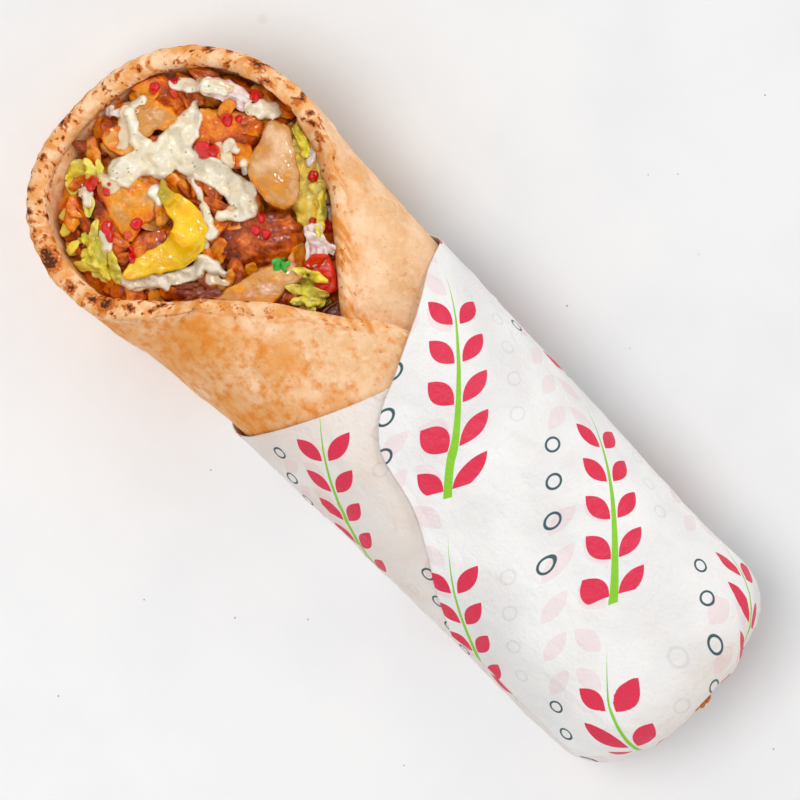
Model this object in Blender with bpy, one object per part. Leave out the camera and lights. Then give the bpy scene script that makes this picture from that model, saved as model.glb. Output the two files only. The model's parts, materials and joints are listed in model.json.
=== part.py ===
"""Doner kebab sandwich: one thick flatbread rolled round its filling, in a greaseproof paper sleeve.

The sandwich lies on its side. +X runs along it towards the open, filled end, +Y is the side whose
flap lies on top, and +Z is up. The origin is the centre of the footprint, on the table.

The bread and the paper are rolled sheets. Both are built on one surface, given by two numbers:
a station, the distance along the roll, and an angle round it, 0 underneath and 90 degrees at +Y.
Past FAN_START the cross-sections tip forward like the leaves of a fan, so that the underside of
the bread curls up into a round lip at the open end.
"""
import math

import bpy
import numpy as np
from mathutils import Vector
from mathutils.bvhtree import BVHTree

MM = 0.001

# ---- Driving dimensions, in millimetres and degrees -------------------------------------------
BREAD_THICKNESS = 6.0
PAPER_THICKNESS = 0.5
GAP = 0.35                      # left between pieces that touch
LAYING_GAP = 0.5                # left under a piece laid on the heap
CORE_GAP = 1.6                  # left between the bread's facets and the filling's
SECTION_POWER = 2.4             # 2 is an ellipse, more is squarer
CENTRE_X = -0.8                 # middle of the footprint, where the origin goes
CENTRE_Y = 1.3

# Half width, half height and sideways shift of the middle of the bread, along the roll.
HALF_WIDTH = [(-140, 35.0), (-95, 35.4), (-45, 37.0), (25, 39.0), (60, 41.5), (85, 44.0),
              (113, 44.8), (125, 44.5), (133, 42.4), (140, 39.0), (148, 32.5), (155, 28.0)]
HALF_HEIGHT = [(-140, 21.5), (-45, 24.0), (25, 25.3), (60, 26.0), (85, 27.6), (112, 32.5),
               (126, 30.0), (137, 27.5), (150, 27.0)]
SIDE_SHIFT = [(-140, 1.2), (-95, 1.0), (-45, 0.0), (25, -0.5), (60, 0.2), (113, 1.4),
              (125, 1.8), (133, 2.1), (140, 3.4), (148, 6.0), (155, 6.5)]

# The closed end is rounded over, then folds in flat across the end.
END_X = -126.5
END_RADIUS = 12.0
END_STEPS = (27.5, 24.5, 18.8, 15.1, 11.3, 7.5, 3.8)    # rows of the fold, measured round it
PAPER_END = 0                   # the first of those rows that each piece reaches
BREAD_END = 1
CORE_END = 3
CORE_MOUTH = 142.0              # station of the filling's last section
CORE_DIMPLE = 5.0               # how far its end is hollowed to clear the folded bread

# The fan that turns the underside up into the lip of the open end. Its leaves hang from a point
# above the roll, and beyond CURL_FROM degrees they grow shorter, which steepens the wall.
FAN_START = 63.0
FAN_HEIGHT = 80.0
FAN_RADIUS = 80.0               # distance along the roll for each radian of tilt
CURL_REACH = 79.0
CURL_FROM = 50.0
CURL_IN = 0.0155
FAN_BLEND = 30.0                # how sharply the flat underside turns into the curl
UNDERSIDE_SAG = 1.6             # how far the round section is pressed flat by the table

# Lowest point that each piece's outside reaches, and the middle of the bread where it lies flat.
PAPER_FLOOR = 0.0
BREAD_FLOOR = PAPER_THICKNESS + GAP
BREAD_FLOOR_MIDDLE = BREAD_FLOOR + BREAD_THICKNESS / 2
CORE_FLOOR = BREAD_FLOOR + BREAD_THICKNESS + CORE_GAP

# Where each sheet's open edge lies: angle round the roll, station along it.
BREAD_EDGE = [(-198, -20), (-185, 12), (-174, 29), (-166, 36), (-146, 50), (-132, 59), (-121, 74),
              (-111, 98), (-96, 112), (-92, 124), (-87, 133.5), (-70, 140.5), (-51, 144),
              (-33, 146), (-15, 147), (20, 147), (36, 146), (58, 143), (80, 137.5), (90, 129),
              (95, 119), (106, 112), (120, 105), (134, 94), (153, 65), (175, 44), (183, 30),
              (199, 12), (207, -10)]
PAPER_EDGE = [(-250, -66), (-233, -54), (-216, -42), (-205, -29), (-198, -10), (-180, 2),
              (-152, 13), (-130, 20), (-90, 24), (0, 46), (90, 25), (139, 15), (162, 8),
              (180, 2), (200, -4)]
LAYER_STEP_FROM = 115.0         # the crossing layers part between these angles
LAYER_STEP_TO = 155.0
BREAD_LAYER_RISE = 3.4
PAPER_LAYER_RISE = 0.5
PAPER_DROP_FROM = 210.0         # past the top bread flap the paper comes down again
PAPER_DROP_TO = 250.0
PAPER_LAP_FROM = 75.0           # one end of the paper rises and the other sinks past these angles
PAPER_LAP_TO = 110.0

# Top of the packed filling along the roll, before its lumps, and the size of its dome and lumps.
HEAP_TOP = [(18, 90), (26, 60), (36, 41), (50, 37), (66, 37.5), (85, 38), (100, 36), (114, 33),
            (125, 29.5), (150, 25)]
HEAP_FALL = 6.0                 # drop from the middle to the sides
HEAP_HALF_WIDTH = 42.0
HEAP_LUMP = 1.3
HEAP_CUT_X = (15.0, 150.0, 20)  # from, to and number of points of the surface that cuts the top
HEAP_CUT_Y = (-60.0, 60.0, 16)
HEAP_CUT_Z = 160.0

# How finely the sheets are cut: columns round the roll and rows along it, points round the lip.
BREAD_GRID = (36, 20)
PAPER_GRID = (37, 11)
LIP_POINTS = 3
BREAD_CROWDING = 1.3            # above 1 the rows crowd towards the open edge
CORE_COLUMNS, CORE_ROLL_ROWS, CORE_FAN_ROWS = 24, 7, 12
SHARP_ANGLE = 50.0              # edges steeper than this stay crisp
SLOPE_ANGLE = 0.05              # step used to find the surface's slope

SLAB_SEED = 5
SLAB_SIDES = 13
SLAB_CORNERS = 0.8              # below 1 the outline is squarer than an oval
SLAB_UNEVEN = 0.09
SLAB_RINGS = ((0.74, -0.46), (1.0, -0.18), (0.97, 0.22), (0.72, 0.5))   # outline's scale, level
SLAB_CROWN = 0.56               # level of the middle of the top, as a part of the thickness
LEAF_ROWS, LEAF_COLUMNS = 7, 4
LEAF_NARROWING = 0.62           # how far a leaf draws in towards its ends
LEAF_SKEW = 0.06
STRIP_RINGS, STRIP_SIDES = 3, 7
STRIP_TIP = 0.12                # thickness left at a strip's blunt tips, squared
SAUCE_CELL = 2.2                # grid of the sauce, in millimetres
SAUCE_RIM = 0.9                 # its depth at the edge
SAUCE_SHOULDER = 2.2            # cells over which it reaches its full depth
SAUCE_EASING = 5                # rounds in which it bridges the dips under it
SAUCE_PROBES = (-1, -0.5, 0, 0.5, 1)
SLOPE_STEP = 0.2
RAY_HEIGHT = 200.0


# ---- Small helpers ----------------------------------------------------------------------------
def clear_scene():
    """Remove every object the file opened with."""
    for item in list(bpy.data.objects):
        bpy.data.objects.remove(item, do_unlink=True)


def smooth_through(knots, at):
    """Value at `at` of a smooth curve through (place, value) knots that never overshoots them."""
    place, value = np.array(knots, dtype=float).T
    step = np.diff(place)
    rise = np.diff(value) / step
    slope = np.zeros_like(value)
    slope[0], slope[-1] = rise[0], rise[-1]
    for i in range(1, len(place) - 1):
        if rise[i - 1] * rise[i] > 0:
            before, after = 2 * step[i] + step[i - 1], step[i] + 2 * step[i - 1]
            slope[i] = (before + after) / (before / rise[i - 1] + after / rise[i])
    at = np.clip(at, place[0], place[-1])
    k = np.clip(np.searchsorted(place, at) - 1, 0, len(place) - 2)
    t = (at - place[k]) / step[k]
    return (value[k] * (1 + 2 * t) * (1 - t) ** 2 + step[k] * slope[k] * t * (1 - t) ** 2
            + value[k + 1] * t * t * (3 - 2 * t) + step[k] * slope[k + 1] * t * t * (t - 1))


def evenly_through(values, at):
    """The same curve through values spaced evenly from 0 to 1."""
    return smooth_through(list(zip(np.linspace(0, 1, len(values)), values)), at)


def ease(low, high, at):
    """0 below low, 1 above high, and a smooth step between."""
    t = np.clip((at - low) / (high - low), 0.0, 1.0)
    return t * t * (3 - 2 * t)


def signed_power(value, power):
    return np.sign(value) * np.abs(value) ** power


def make_material(name, colour, roughness):
    material = bpy.data.materials.get(name)
    if material:
        return material
    material = bpy.data.materials.new(name)
    material.use_nodes = True
    shader = material.node_tree.nodes["Principled BSDF"]
    shader.inputs["Base Color"].default_value = (*colour, 1.0)
    shader.inputs["Roughness"].default_value = roughness
    shader.inputs["Metallic"].default_value = 0.0
    return material


def add_mesh(name, points, faces, material):
    """A named object from points in millimetres, shaded smooth across its shallow edges."""
    mesh = bpy.data.meshes.new(name)
    mesh.from_pydata([tuple(float(c) * MM for c in p) for p in points], [], faces)
    mesh.validate()
    mesh.shade_smooth()
    mesh.set_sharp_from_angle(angle=math.radians(SHARP_ANGLE))
    piece = bpy.data.objects.new(name, mesh)
    piece.location = (-CENTRE_X * MM, -CENTRE_Y * MM, 0.0)
    bpy.context.scene.collection.objects.link(piece)
    mesh.materials.append(material)
    return piece


# ---- The rolled surface -----------------------------------------------------------------------
def roll_middle(station, angle):
    """Middle of the bread at a station and an angle in degrees, before the table flattens it."""
    half_width = smooth_through(HALF_WIDTH, station)
    half_height = smooth_through(HALF_HEIGHT, station)
    round_start = END_X + END_RADIUS
    past_end = np.maximum(round_start - station, 0.0)
    turn = np.minimum(past_end / END_RADIUS, math.pi / 2)
    flat_run = np.maximum(past_end - END_RADIUS * math.pi / 2, 0.0)
    inset = END_RADIUS * (1 - np.cos(turn)) + flat_run
    along = np.maximum(station, round_start) - END_RADIUS * np.sin(turn)

    power = 2 / SECTION_POWER
    theta = np.radians(angle)
    across = (half_width - inset) * signed_power(np.sin(theta), power)
    down = (half_height - inset) * signed_power(np.cos(theta), power)

    tilt = np.maximum(station - FAN_START, 0.0) / FAN_RADIUS
    flat_reach = FAN_HEIGHT - BREAD_FLOOR_MIDDLE + UNDERSIDE_SAG
    curl_reach = CURL_REACH - CURL_IN * np.maximum(np.degrees(tilt) - CURL_FROM, 0.0) ** 2
    both = (np.cos(tilt) / flat_reach) ** FAN_BLEND + curl_reach ** -FAN_BLEND
    distance = both ** (-1 / FAN_BLEND) - half_height + down
    x = np.where(tilt > 0, FAN_START + distance * np.sin(tilt), along)
    y = smooth_through(SIDE_SHIFT, station) + across
    return np.stack([x, y, FAN_HEIGHT - distance * np.cos(tilt)], -1)


def roll_point(station, angle, outward, floor):
    """Point `outward` of the bread's middle, square to it and never below `floor`."""
    station, angle, outward = np.broadcast_arrays(
        np.asarray(station, float), np.asarray(angle, float), np.asarray(outward, float))
    along = roll_middle(station + SLOPE_ANGLE, angle) - roll_middle(station - SLOPE_ANGLE, angle)
    around = roll_middle(station, angle + SLOPE_ANGLE) - roll_middle(station, angle - SLOPE_ANGLE)
    square = np.cross(around, along)
    square /= np.linalg.norm(square, axis=-1, keepdims=True)
    point = roll_middle(station, angle) + square * outward[..., None]
    point[..., 2] = np.maximum(point[..., 2], floor)
    return point


def bread_rise(angle):
    """How far the bread's middle is lifted outwards: up on the +Y flap, down on the flap under it."""
    step = ease(LAYER_STEP_FROM, LAYER_STEP_TO, np.abs(angle))
    return BREAD_LAYER_RISE * step * np.sign(angle)


def paper_rise(angle):
    """How far the paper's middle lies outside the bread's, over the crossed flaps and at its overlap."""
    round_angle = np.where(angle < 0, angle + 360, angle)
    over_flap = ease(LAYER_STEP_FROM, LAYER_STEP_TO, round_angle)
    over_flap = over_flap * (1 - ease(PAPER_DROP_FROM, PAPER_DROP_TO, round_angle))
    clear = BREAD_THICKNESS / 2 + GAP + PAPER_THICKNESS / 2
    overlap = ease(PAPER_LAP_FROM, PAPER_LAP_TO, np.abs(angle)) * -np.sign(angle)
    return clear + BREAD_LAYER_RISE * over_flap + PAPER_LAYER_RISE * (1 + overlap)


def rolled_sheet(name, edge, end, rise, thickness, floor, grid, crowding, lip_points, material):
    """A sheet rolled round the surface: open along `edge`, folded in at the far end.

    Each column is one closed profile: along the outer face to the edge, round the lip, and back
    along the inner face.
    """
    columns, rows = grid
    angles = np.linspace(edge[0][0], edge[-1][0], columns)
    edge_station = smooth_through(edge, angles)
    round_start = END_X + END_RADIUS
    fold = round_start - np.array(END_STEPS[end:])
    share = 1 - np.linspace(1.0, 0.0, rows - len(fold)) ** crowding
    lip_radius = thickness / 2 if lip_points else 0.0

    outer, inner, lip = [], [], []
    for angle, station_at_edge in zip(angles, edge_station):
        last = station_at_edge - lip_radius
        stations = np.concatenate([fold, round_start + share * (last - round_start)])
        middle = rise(angle)
        outer.append(roll_point(stations, angle, middle + thickness / 2, floor))
        inner.append(roll_point(stations, angle, middle - thickness / 2, floor + thickness))
        turn = np.linspace(math.pi / 2, -math.pi / 2, lip_points + 2)[1:-1]
        lip_floor = floor + thickness / 2 * (1 - np.sin(turn))
        lip.append(roll_point(last + lip_radius * np.cos(turn), angle,
                              middle + lip_radius * np.sin(turn), lip_floor))

    profile = [np.concatenate([outer[j], lip[j], inner[j][::-1]]) for j in range(columns)]
    size = len(profile[0])
    points = np.concatenate(profile)
    faces = []
    for j in range(columns - 1):
        for i in range(size):
            following = (i + 1) % size
            faces.append((j * size + i, (j + 1) * size + i,
                          (j + 1) * size + following, j * size + following))
    for j, flipped in ((0, True), (columns - 1, False)):
        start = j * size
        caps = [(start + i, start + size - 1 - i, start + size - 2 - i, start + i + 1)
                for i in range(rows - 1)]
        if lip_points:
            caps.append(tuple(start + i for i in range(size - rows, rows - 2, -1)))
        faces += [tuple(reversed(face)) if flipped else face for face in caps]
    return add_mesh(name, points, faces, material)


# ---- The packed filling -----------------------------------------------------------------------
def heap_height(x, y):
    """Top of the packed filling under the loose pieces: a lumpy dome, lower towards the lip."""
    dome = HEAP_FALL * np.minimum(np.abs(y) / HEAP_HALF_WIDTH, 1.2) ** 2
    lumps = np.sin(x / 4.1 + 0.6) * np.cos(y / 4.7 - 0.4) + 0.6 * np.sin((x + y) / 3.1)
    return smooth_through(HEAP_TOP, x) - dome + HEAP_LUMP * lumps


def core_rise(angle):
    """How far the filling stays inside the bread's middle, so that it clears the under flap."""
    step = ease(LAYER_STEP_FROM, LAYER_STEP_TO, np.abs(angle))
    return -(BREAD_THICKNESS / 2 + CORE_GAP + BREAD_LAYER_RISE * step)


def filling_core(material):
    """The filling that runs the length of the roll, its top in the mouth lowered to the heap."""
    angles = np.linspace(-180, 180, CORE_COLUMNS + 1)[:-1]
    round_start = END_X + END_RADIUS
    stations = np.concatenate([
        round_start - np.array(END_STEPS[CORE_END:]),
        np.linspace(round_start, FAN_START, CORE_ROLL_ROWS, endpoint=False),
        np.linspace(FAN_START, CORE_MOUTH, CORE_FAN_ROWS)])
    rings = [roll_point(s, angles, core_rise(angles), CORE_FLOOR) for s in stations]
    size = len(angles)
    faces = []
    for i in range(len(rings) - 1):
        for j in range(size):
            k = (j + 1) % size
            faces.append((i * size + j, (i + 1) * size + j, (i + 1) * size + k, i * size + k))
    dimple = rings[0].mean(axis=0) + np.array([CORE_DIMPLE, 0, 0])
    mouth = (len(rings) - 1) * size
    points = np.concatenate(rings + [dimple[None]])
    faces += [(j, (j + 1) % size, len(points) - 1) for j in range(size)]
    faces.append(tuple(mouth + j for j in reversed(range(size))))
    core = add_mesh("filling_core", points, faces, material)

    grid_x, grid_y = np.meshgrid(np.linspace(*HEAP_CUT_X), np.linspace(*HEAP_CUT_Y), indexing="ij")
    low = np.stack([grid_x, grid_y, heap_height(grid_x, grid_y)], -1).reshape(-1, 3)
    high = low.copy()
    high[:, 2] = HEAP_CUT_Z
    cutter = add_mesh("heap_cutter", np.concatenate([high, low]), grid_faces(*grid_x.shape), material)
    cutter.hide_render = True
    cutter.display_type = "WIRE"
    cut = core.modifiers.new("heap_top", "BOOLEAN")
    cut.operation = "DIFFERENCE"
    cut.object = cutter
    return core


def grid_faces(count_x, count_y):
    """Faces of a closed solid between an upper and a lower grid of points."""
    total = count_x * count_y
    faces = []
    for i in range(count_x - 1):
        for j in range(count_y - 1):
            a, b = i * count_y + j, (i + 1) * count_y + j
            faces.append((a, b, b + 1, a + 1))
            faces.append((total + a, total + a + 1, total + b + 1, total + b))
    border = [i * count_y for i in range(count_x)]
    border += [(count_x - 1) * count_y + j for j in range(1, count_y)]
    border += [i * count_y + count_y - 1 for i in reversed(range(count_x - 1))]
    border += list(reversed(range(1, count_y - 1)))
    for a, b in zip(border, border[1:] + border[:1]):
        faces.append((b, a, total + a, total + b))
    return faces


# ---- Loose pieces on top ----------------------------------------------------------------------
def turned(points, yaw, pitch, bank):
    """Points tipped by pitch along their length and bank across it, then turned by yaw."""
    yaw, pitch, bank = (math.radians(v) for v in (yaw, pitch, bank))
    cy, sy, cp, sp, cb, sb = (math.cos(yaw), math.sin(yaw), math.cos(pitch), math.sin(pitch),
                              math.cos(bank), math.sin(bank))
    roll = np.array([(1, 0, 0), (0, cb, -sb), (0, sb, cb)])
    tip = np.array([(cp, 0, -sp), (0, 1, 0), (sp, 0, cp)])
    swing = np.array([(cy, -sy, 0), (sy, cy, 0), (0, 0, 1)])
    return points @ (swing @ tip @ roll).T


def slab(length, width, thickness, taper, bend, seed):
    """A cut slice: a rounded, tapered slab with an uneven outline, bent along its length."""
    draw = np.random.default_rng(SLAB_SEED + seed)
    theta = np.arange(SLAB_SIDES) * 2 * math.pi / SLAB_SIDES
    uneven = 1 + draw.uniform(-SLAB_UNEVEN, SLAB_UNEVEN, SLAB_SIDES)
    x = length / 2 * signed_power(np.cos(theta), SLAB_CORNERS) * uneven
    y = width / 2 * signed_power(np.sin(theta), SLAB_CORNERS) * uneven * (1 + taper * np.cos(theta))
    points = [(0.0, 0.0, SLAB_RINGS[0][1] * thickness)]
    for scale, level in SLAB_RINGS:
        points += [(a * scale, b * scale, level * thickness) for a, b in zip(x, y)]
    points.append((0.0, 0.0, SLAB_CROWN * thickness))
    points = np.array(points)
    points[:, 2] += bend * (2 * points[:, 0] / length) ** 2
    top, last = 1 + (len(SLAB_RINGS) - 1) * SLAB_SIDES, len(points) - 1
    faces = []
    for j in range(SLAB_SIDES):
        k = (j + 1) % SLAB_SIDES
        faces.append((0, 1 + k, 1 + j))
        for a in range(1, top, SLAB_SIDES):
            faces.append((a + j, a + k, a + SLAB_SIDES + k, a + SLAB_SIDES + j))
        faces.append((top + j, top + k, last))
    return points, faces


def leaf(length, width, thickness, ruffle, waves):
    """A torn piece of leaf: a thin sheet with a ruffled edge."""
    along, across = np.meshgrid(np.linspace(-1, 1, LEAF_ROWS), np.linspace(-1, 1, LEAF_COLUMNS),
                                indexing="ij")
    x = along * length / 2 + LEAF_SKEW * length * np.sin(2 * across)
    y = across * np.sqrt(1 - LEAF_NARROWING * along ** 2) * width / 2
    z = ruffle * (np.sin(waves * along * math.pi) * across + np.abs(across) / 2)
    sheet = np.stack([x, y, z], -1).reshape(-1, 3)
    lift = np.array([0, 0, thickness / 2])
    return np.concatenate([sheet + lift, sheet - lift]), grid_faces(LEAF_ROWS, LEAF_COLUMNS)


def sweep(path, widths, thickness):
    """A strip along a path of (x, y, z) knots: an oval section whose width follows `widths`."""
    count, sides = STRIP_RINGS * (len(path) - 1) + 1, STRIP_SIDES
    place = np.linspace(0, 1, count)
    centre = np.stack([evenly_through(values, place) for values in zip(*path)], -1)
    width = evenly_through(widths, place)
    ahead = np.gradient(centre, axis=0)
    ahead[:, 2] = 0
    ahead /= np.linalg.norm(ahead, axis=1, keepdims=True)
    sideways = np.stack([-ahead[:, 1], ahead[:, 0], 0 * place], -1)
    full = np.sqrt(np.clip(1 - (2 * place - 1) ** 8, STRIP_TIP, 1))
    points = []
    for i in range(count):
        for j in range(sides):
            theta = j * 2 * math.pi / sides
            offset = sideways[i] * width[i] * full[i] * math.cos(theta)
            lift = thickness / 2 * full[i] * math.sin(theta)
            points.append(centre[i] + offset + np.array([0, 0, lift]))
    faces = [(i * sides + j, i * sides + (j + 1) % sides,
              (i + 1) * sides + (j + 1) % sides, (i + 1) * sides + j)
             for i in range(count - 1) for j in range(sides)]
    faces.append(tuple(reversed(range(sides))))
    faces.append(tuple((count - 1) * sides + j for j in range(sides)))
    return np.array(points), faces


class Heap:
    """What is already on the heap, as something that the next piece can be lowered onto."""

    def __init__(self):
        self.points, self.faces = [], []

    def add(self, piece):
        """Take in a finished object."""
        evaluated = piece.evaluated_get(bpy.context.evaluated_depsgraph_get())
        mesh = evaluated.to_mesh()
        start = len(self.points)
        self.points += [Vector(v.co) / MM for v in mesh.vertices]
        self.faces += [tuple(start + i for i in p.vertices) for p in mesh.polygons]
        evaluated.to_mesh_clear()

    def tree(self):
        return BVHTree.FromPolygons(self.points, self.faces)

    def lower(self, points, faces):
        """Move points straight down until the piece rests on the heap, a gap above it."""
        mine = BVHTree.FromPolygons([Vector(p) for p in points], faces)
        below = self.tree()
        centres = [np.mean([points[i] for i in face], axis=0) for face in faces]
        middles = [(points[face[i - 1]] + points[face[i]]) / 2
                   for face in faces for i in range(len(face))]
        room = RAY_HEIGHT
        for point in list(points) + centres + middles:
            hit = below.ray_cast(Vector(point), Vector((0, 0, -1)))
            if hit[0] is not None:
                room = min(room, hit[3])
        low, high = points.min(axis=0), points.max(axis=0)
        for point in self.points:
            if low[0] < point.x < high[0] and low[1] < point.y < high[1]:
                hit = mine.ray_cast(point, Vector((0, 0, 1)))
                if hit[0] is not None:
                    room = min(room, hit[3])
        points = points.copy()
        points[:, 2] -= room - LAYING_GAP
        return points


def height_at(surface, x, y):
    """Height of the heap's surface at a place, or 0 beside it."""
    hit = surface.ray_cast(Vector((x, y, RAY_HEIGHT)), Vector((0, 0, -1)))
    return hit[0].z if hit[0] is not None else 0.0


def rest_piece(heap, name, points, faces, place, turn, material):
    """Turn a piece, hold it over its place, lower it onto the heap and add it there."""
    points = turned(points, *turn) + np.array([place[0], place[1], RAY_HEIGHT / 2])
    heap.add(add_mesh(name, heap.lower(points, faces), faces, material))


def blob_distance(x, y, blobs):
    """Distance outside a chain of round blobs: each joins the one it names by a tapered neck."""
    nearest = 1e9
    for bx, by, radius, parent in blobs:
        px, py, parent_radius = blobs[parent][:3]
        ax, ay = px - bx, py - by
        t = ((x - bx) * ax + (y - by) * ay) / max(ax * ax + ay * ay, 1e-6)
        t = min(max(t, 0.0), 1.0)
        away = math.hypot(x - bx - t * ax, y - by - t * ay)
        nearest = min(nearest, away - radius - t * (parent_radius - radius))
    return nearest


def sauce(heap, name, blobs, depth, material):
    """Thick sauce poured over the heap: a puddle that follows what lies under it."""
    cell = SAUCE_CELL
    reach = 1.5 * cell
    low_x = min(b[0] - b[2] for b in blobs) - reach
    low_y = min(b[1] - b[2] for b in blobs) - reach
    count_x = int((max(b[0] + b[2] for b in blobs) + reach - low_x) / cell) + 1
    count_y = int((max(b[1] + b[2] for b in blobs) + reach - low_y) / cell) + 1
    surface = heap.tree()

    spots = {}
    for i in range(count_x + 1):
        for j in range(count_y + 1):
            x, y = low_x + i * cell, low_y + j * cell
            away = blob_distance(x, y, blobs)
            if away < 0.6 * cell:
                spots[i, j] = [x, y, away]
    cells = [(i, j) for i, j in spots
             if all((i + a, j + b) in spots for a, b in ((1, 0), (1, 1), (0, 1)))]
    used = sorted({(i + a, j + b) for i, j in cells for a, b in ((0, 0), (1, 0), (1, 1), (0, 1))})
    number = {spot: k for k, spot in enumerate(used)}

    lowest = min(height_at(surface, x, y) for x, y, radius, parent in blobs)
    ground = np.zeros(len(used))
    depths = np.zeros(len(used))
    places = []
    for k, spot in enumerate(used):
        x, y, away = spots[spot]
        if away > -0.5 * cell:
            slope_x = blob_distance(x + SLOPE_STEP, y, blobs) - away
            slope_y = blob_distance(x, y + SLOPE_STEP, blobs) - away
            size = max(math.hypot(slope_x, slope_y), 1e-6)
            x, y = x - slope_x / size * away, y - slope_y / size * away
            away = 0.0
        near = [height_at(surface, x + a * cell, y + b * cell)
                for a in SAUCE_PROBES for b in SAUCE_PROBES]
        places.append((x, y))
        ground[k] = max(max(near), lowest) + 2 * GAP
        depths[k] = SAUCE_RIM + depth * math.sqrt(min(-away / (SAUCE_SHOULDER * cell), 1.0))
    neighbours = [[number[i + a, j + b] for a, b in ((1, 0), (-1, 0), (0, 1), (0, -1))
                   if (i + a, j + b) in number] for i, j in used]
    for _ in range(SAUCE_EASING):
        ground = np.maximum(ground, [ground[group].mean() for group in neighbours])

    total = len(used)
    highs = [(x, y, g + d) for (x, y), g, d in zip(places, ground, depths)]
    lows = [(x, y, g) for (x, y), g in zip(places, ground)]
    faces, edges = [], set()
    for i, j in cells:
        ring = [number[i + a, j + b] for a, b in ((0, 0), (1, 0), (1, 1), (0, 1))]
        faces.append(tuple(ring))
        faces.append(tuple(total + k for k in reversed(ring)))
        edges |= set(zip(ring, ring[1:] + ring[:1]))
    faces += [(b, a, total + a, total + b) for a, b in sorted(edges) if (b, a) not in edges]
    heap.add(add_mesh(name, highs + lows, faces, material))


# ---- What lies on the heap ----------------------------------------------------------------------
# Slices of meat: place x, y; length, width, thickness, taper; bend; turn as yaw, pitch, bank.
MEAT = {
    "meat_red_left": ((117.5, 10.5), (15, 8, 4, 0.1), 0.8, (-150, -14, -6)),
    "meat_brown_left": ((101, 28), (14, 8, 4, 0.0), 0.6, (125, 0, 8)),
    "meat_brown_fold": ((89, 24), (16, 12, 4, -0.2), 0.8, (150, 4, 4)),
    "meat_crumbly": ((64, 19), (18, 8, 5, 0.0), 0.6, (-125, 0, 0)),
    "meat_under_edge": ((46, 3), (9, 6, 4, 0.0), 0.4, (-125, 0, 0)),
    "meat_pale_slice": ((53.8, 5), (25.5, 9, 4.5, -0.35), -1.2, (-118, 4, -10)),
    "meat_seared_slice": ((63, -4), (27, 14, 6, -0.2), -1.0, (-130, 5, 8)),
    "meat_curl_outer": ((113.5, -15.5), (15, 9, 4.5, 0.2), 1.2, (-160, -8, 6)),
    "meat_curl_pale": ((114, -7), (17, 12, 5.5, 0.1), -1.6, (-165, 4, -4)),
    "meat_wedge_small": ((113, 4), (13, 8, 5, -0.45), 0.4, (-155, 6, 0)),
    "meat_charred": ((92, -20), (20, 15, 5.5, -0.2), 0.8, (-150, 0, 6)),
    "meat_wedge_large": ((74, -23), (26, 14, 7, -0.45), -0.8, (145, 4, 8)),
    "meat_curved_strip": ((84, -2), (14, 5, 4, 0.0), -1.5, (165, 0, 0)),
    "meat_golden_slice": ((98, 14), (20, 18, 4.5, -0.4), 1.2, (130, -4, 4)),
    "meat_orange_strip": ((87, -14), (11, 5, 3.5, 0.0), 0.3, (-150, 0, 0)),
}
# Salad leaves: place, size as length, width, thickness, ruffle height, waves, turn.
LEAVES = {
    "lettuce_far_left": ((113, 21), (15, 9, 1.6), 1.4, 1.1, (-60, 0, -14)),
    "lettuce_near_left": ((94, 35), (17, 8, 1.6), 1.5, 1.2, (165, 0, 6)),
    "lettuce_corner": ((40, -4), (12, 8, 1.6), 1.2, 0.9, (-175, 6, 0)),
}
# Strips: knots along the middle as x, y, z; half widths along it; thickness.
STRIPS = {
    "lettuce_rib": ([(81, -36, 0), (72, -32.5, 1), (61, -25.5, 1), (53, -18.5, 0)],
                    (2, 3.6, 3.8, 2.6), 3.0),
    "tomato_corner": ([(46, -13, 0), (41, -11, 0.4), (36, -9, 0)], (2.2, 3.0, 2.2), 4.0),
    "tomato_sliver": ([(54, -23, 0), (51, -21, 0), (49, -19, 0)], (1.4, 1.8, 1.4), 3.0),
    "red_pepper_bit": ([(60, -14.5, 0), (56.5, -13.5, 0.4), (53, -12.5, 0)], (1.6, 2.2, 1.8), 2.6),
    "onion_corner": ([(53, -17.5, 0), (49, -15, 0.6), (45, -13, 0)], (2.0, 2.8, 2.2), 2.2),
    "onion_slice": ([(109, -30, 0), (101, -29, 1.2), (93, -26, 0)], (2.0, 3.0, 2.2), 1.8),
    "tomato_top": ([(112, -24, 0), (109, -27, 0.4), (105, -29, 0)], (1.3, 1.9, 1.4), 2.4),
    "carrot_strip": ([(115, -24.5, 0), (111, -28, 0.6), (106, -31, 0)], (0.8, 1.7, 1.4), 1.8),
    "onion_bit": ([(118, -4, 0), (118.5, 0, 0.3), (116.5, 3.5, 0)], (1.2, 1.8, 1.3), 1.8),
}
# Sauce: round blobs as x, y, radius and the blob they join; depth of the puddle.
SAUCES = {
    "sauce_main": ([(102.7, -3.7, 5.2, 0), (104.9, -10.4, 3.8, 0), (106.3, -17.5, 3.0, 1),
                    (104.5, 4.0, 4.2, 0), (108.5, 10.5, 3.0, 3), (94.6, -7.2, 3.9, 0),
                    (86.1, -10.4, 3.8, 5), (77.5, -10.5, 3.8, 6), (73.0, -6.5, 3.0, 7),
                    (111.6, -1.5, 3.6, 0), (117.0, -3.0, 2.8, 9)], 2.0),
    "sauce_far": ([(116.0, -19.5, 1.9, 0), (111.0, -23.5, 2.5, 0)], 1.2),
    "sauce_dollop": ([(92.4, -31.5, 2.8, 0), (88.6, -34.0, 3.4, 0)], 2.0),
    "sauce_near": ([(82.0, 33.0, 2.4, 0), (78.1, 28.0, 2.8, 0), (72.5, 23.0, 3.2, 1),
                    (68.0, 15.0, 4.2, 2), (62.5, 11.0, 2.5, 3)], 1.6),
}
PEPPER_RING = ([(96.5, 4, 0), (89, -0.5, 1.0), (80, 4, 1.4), (76, 13, 1.2), (78, 24, 0.6),
                (82, 33, 0)], (2.2, 3.2, 4.6, 4.4, 3.6, 2.0), 3.2)
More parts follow.
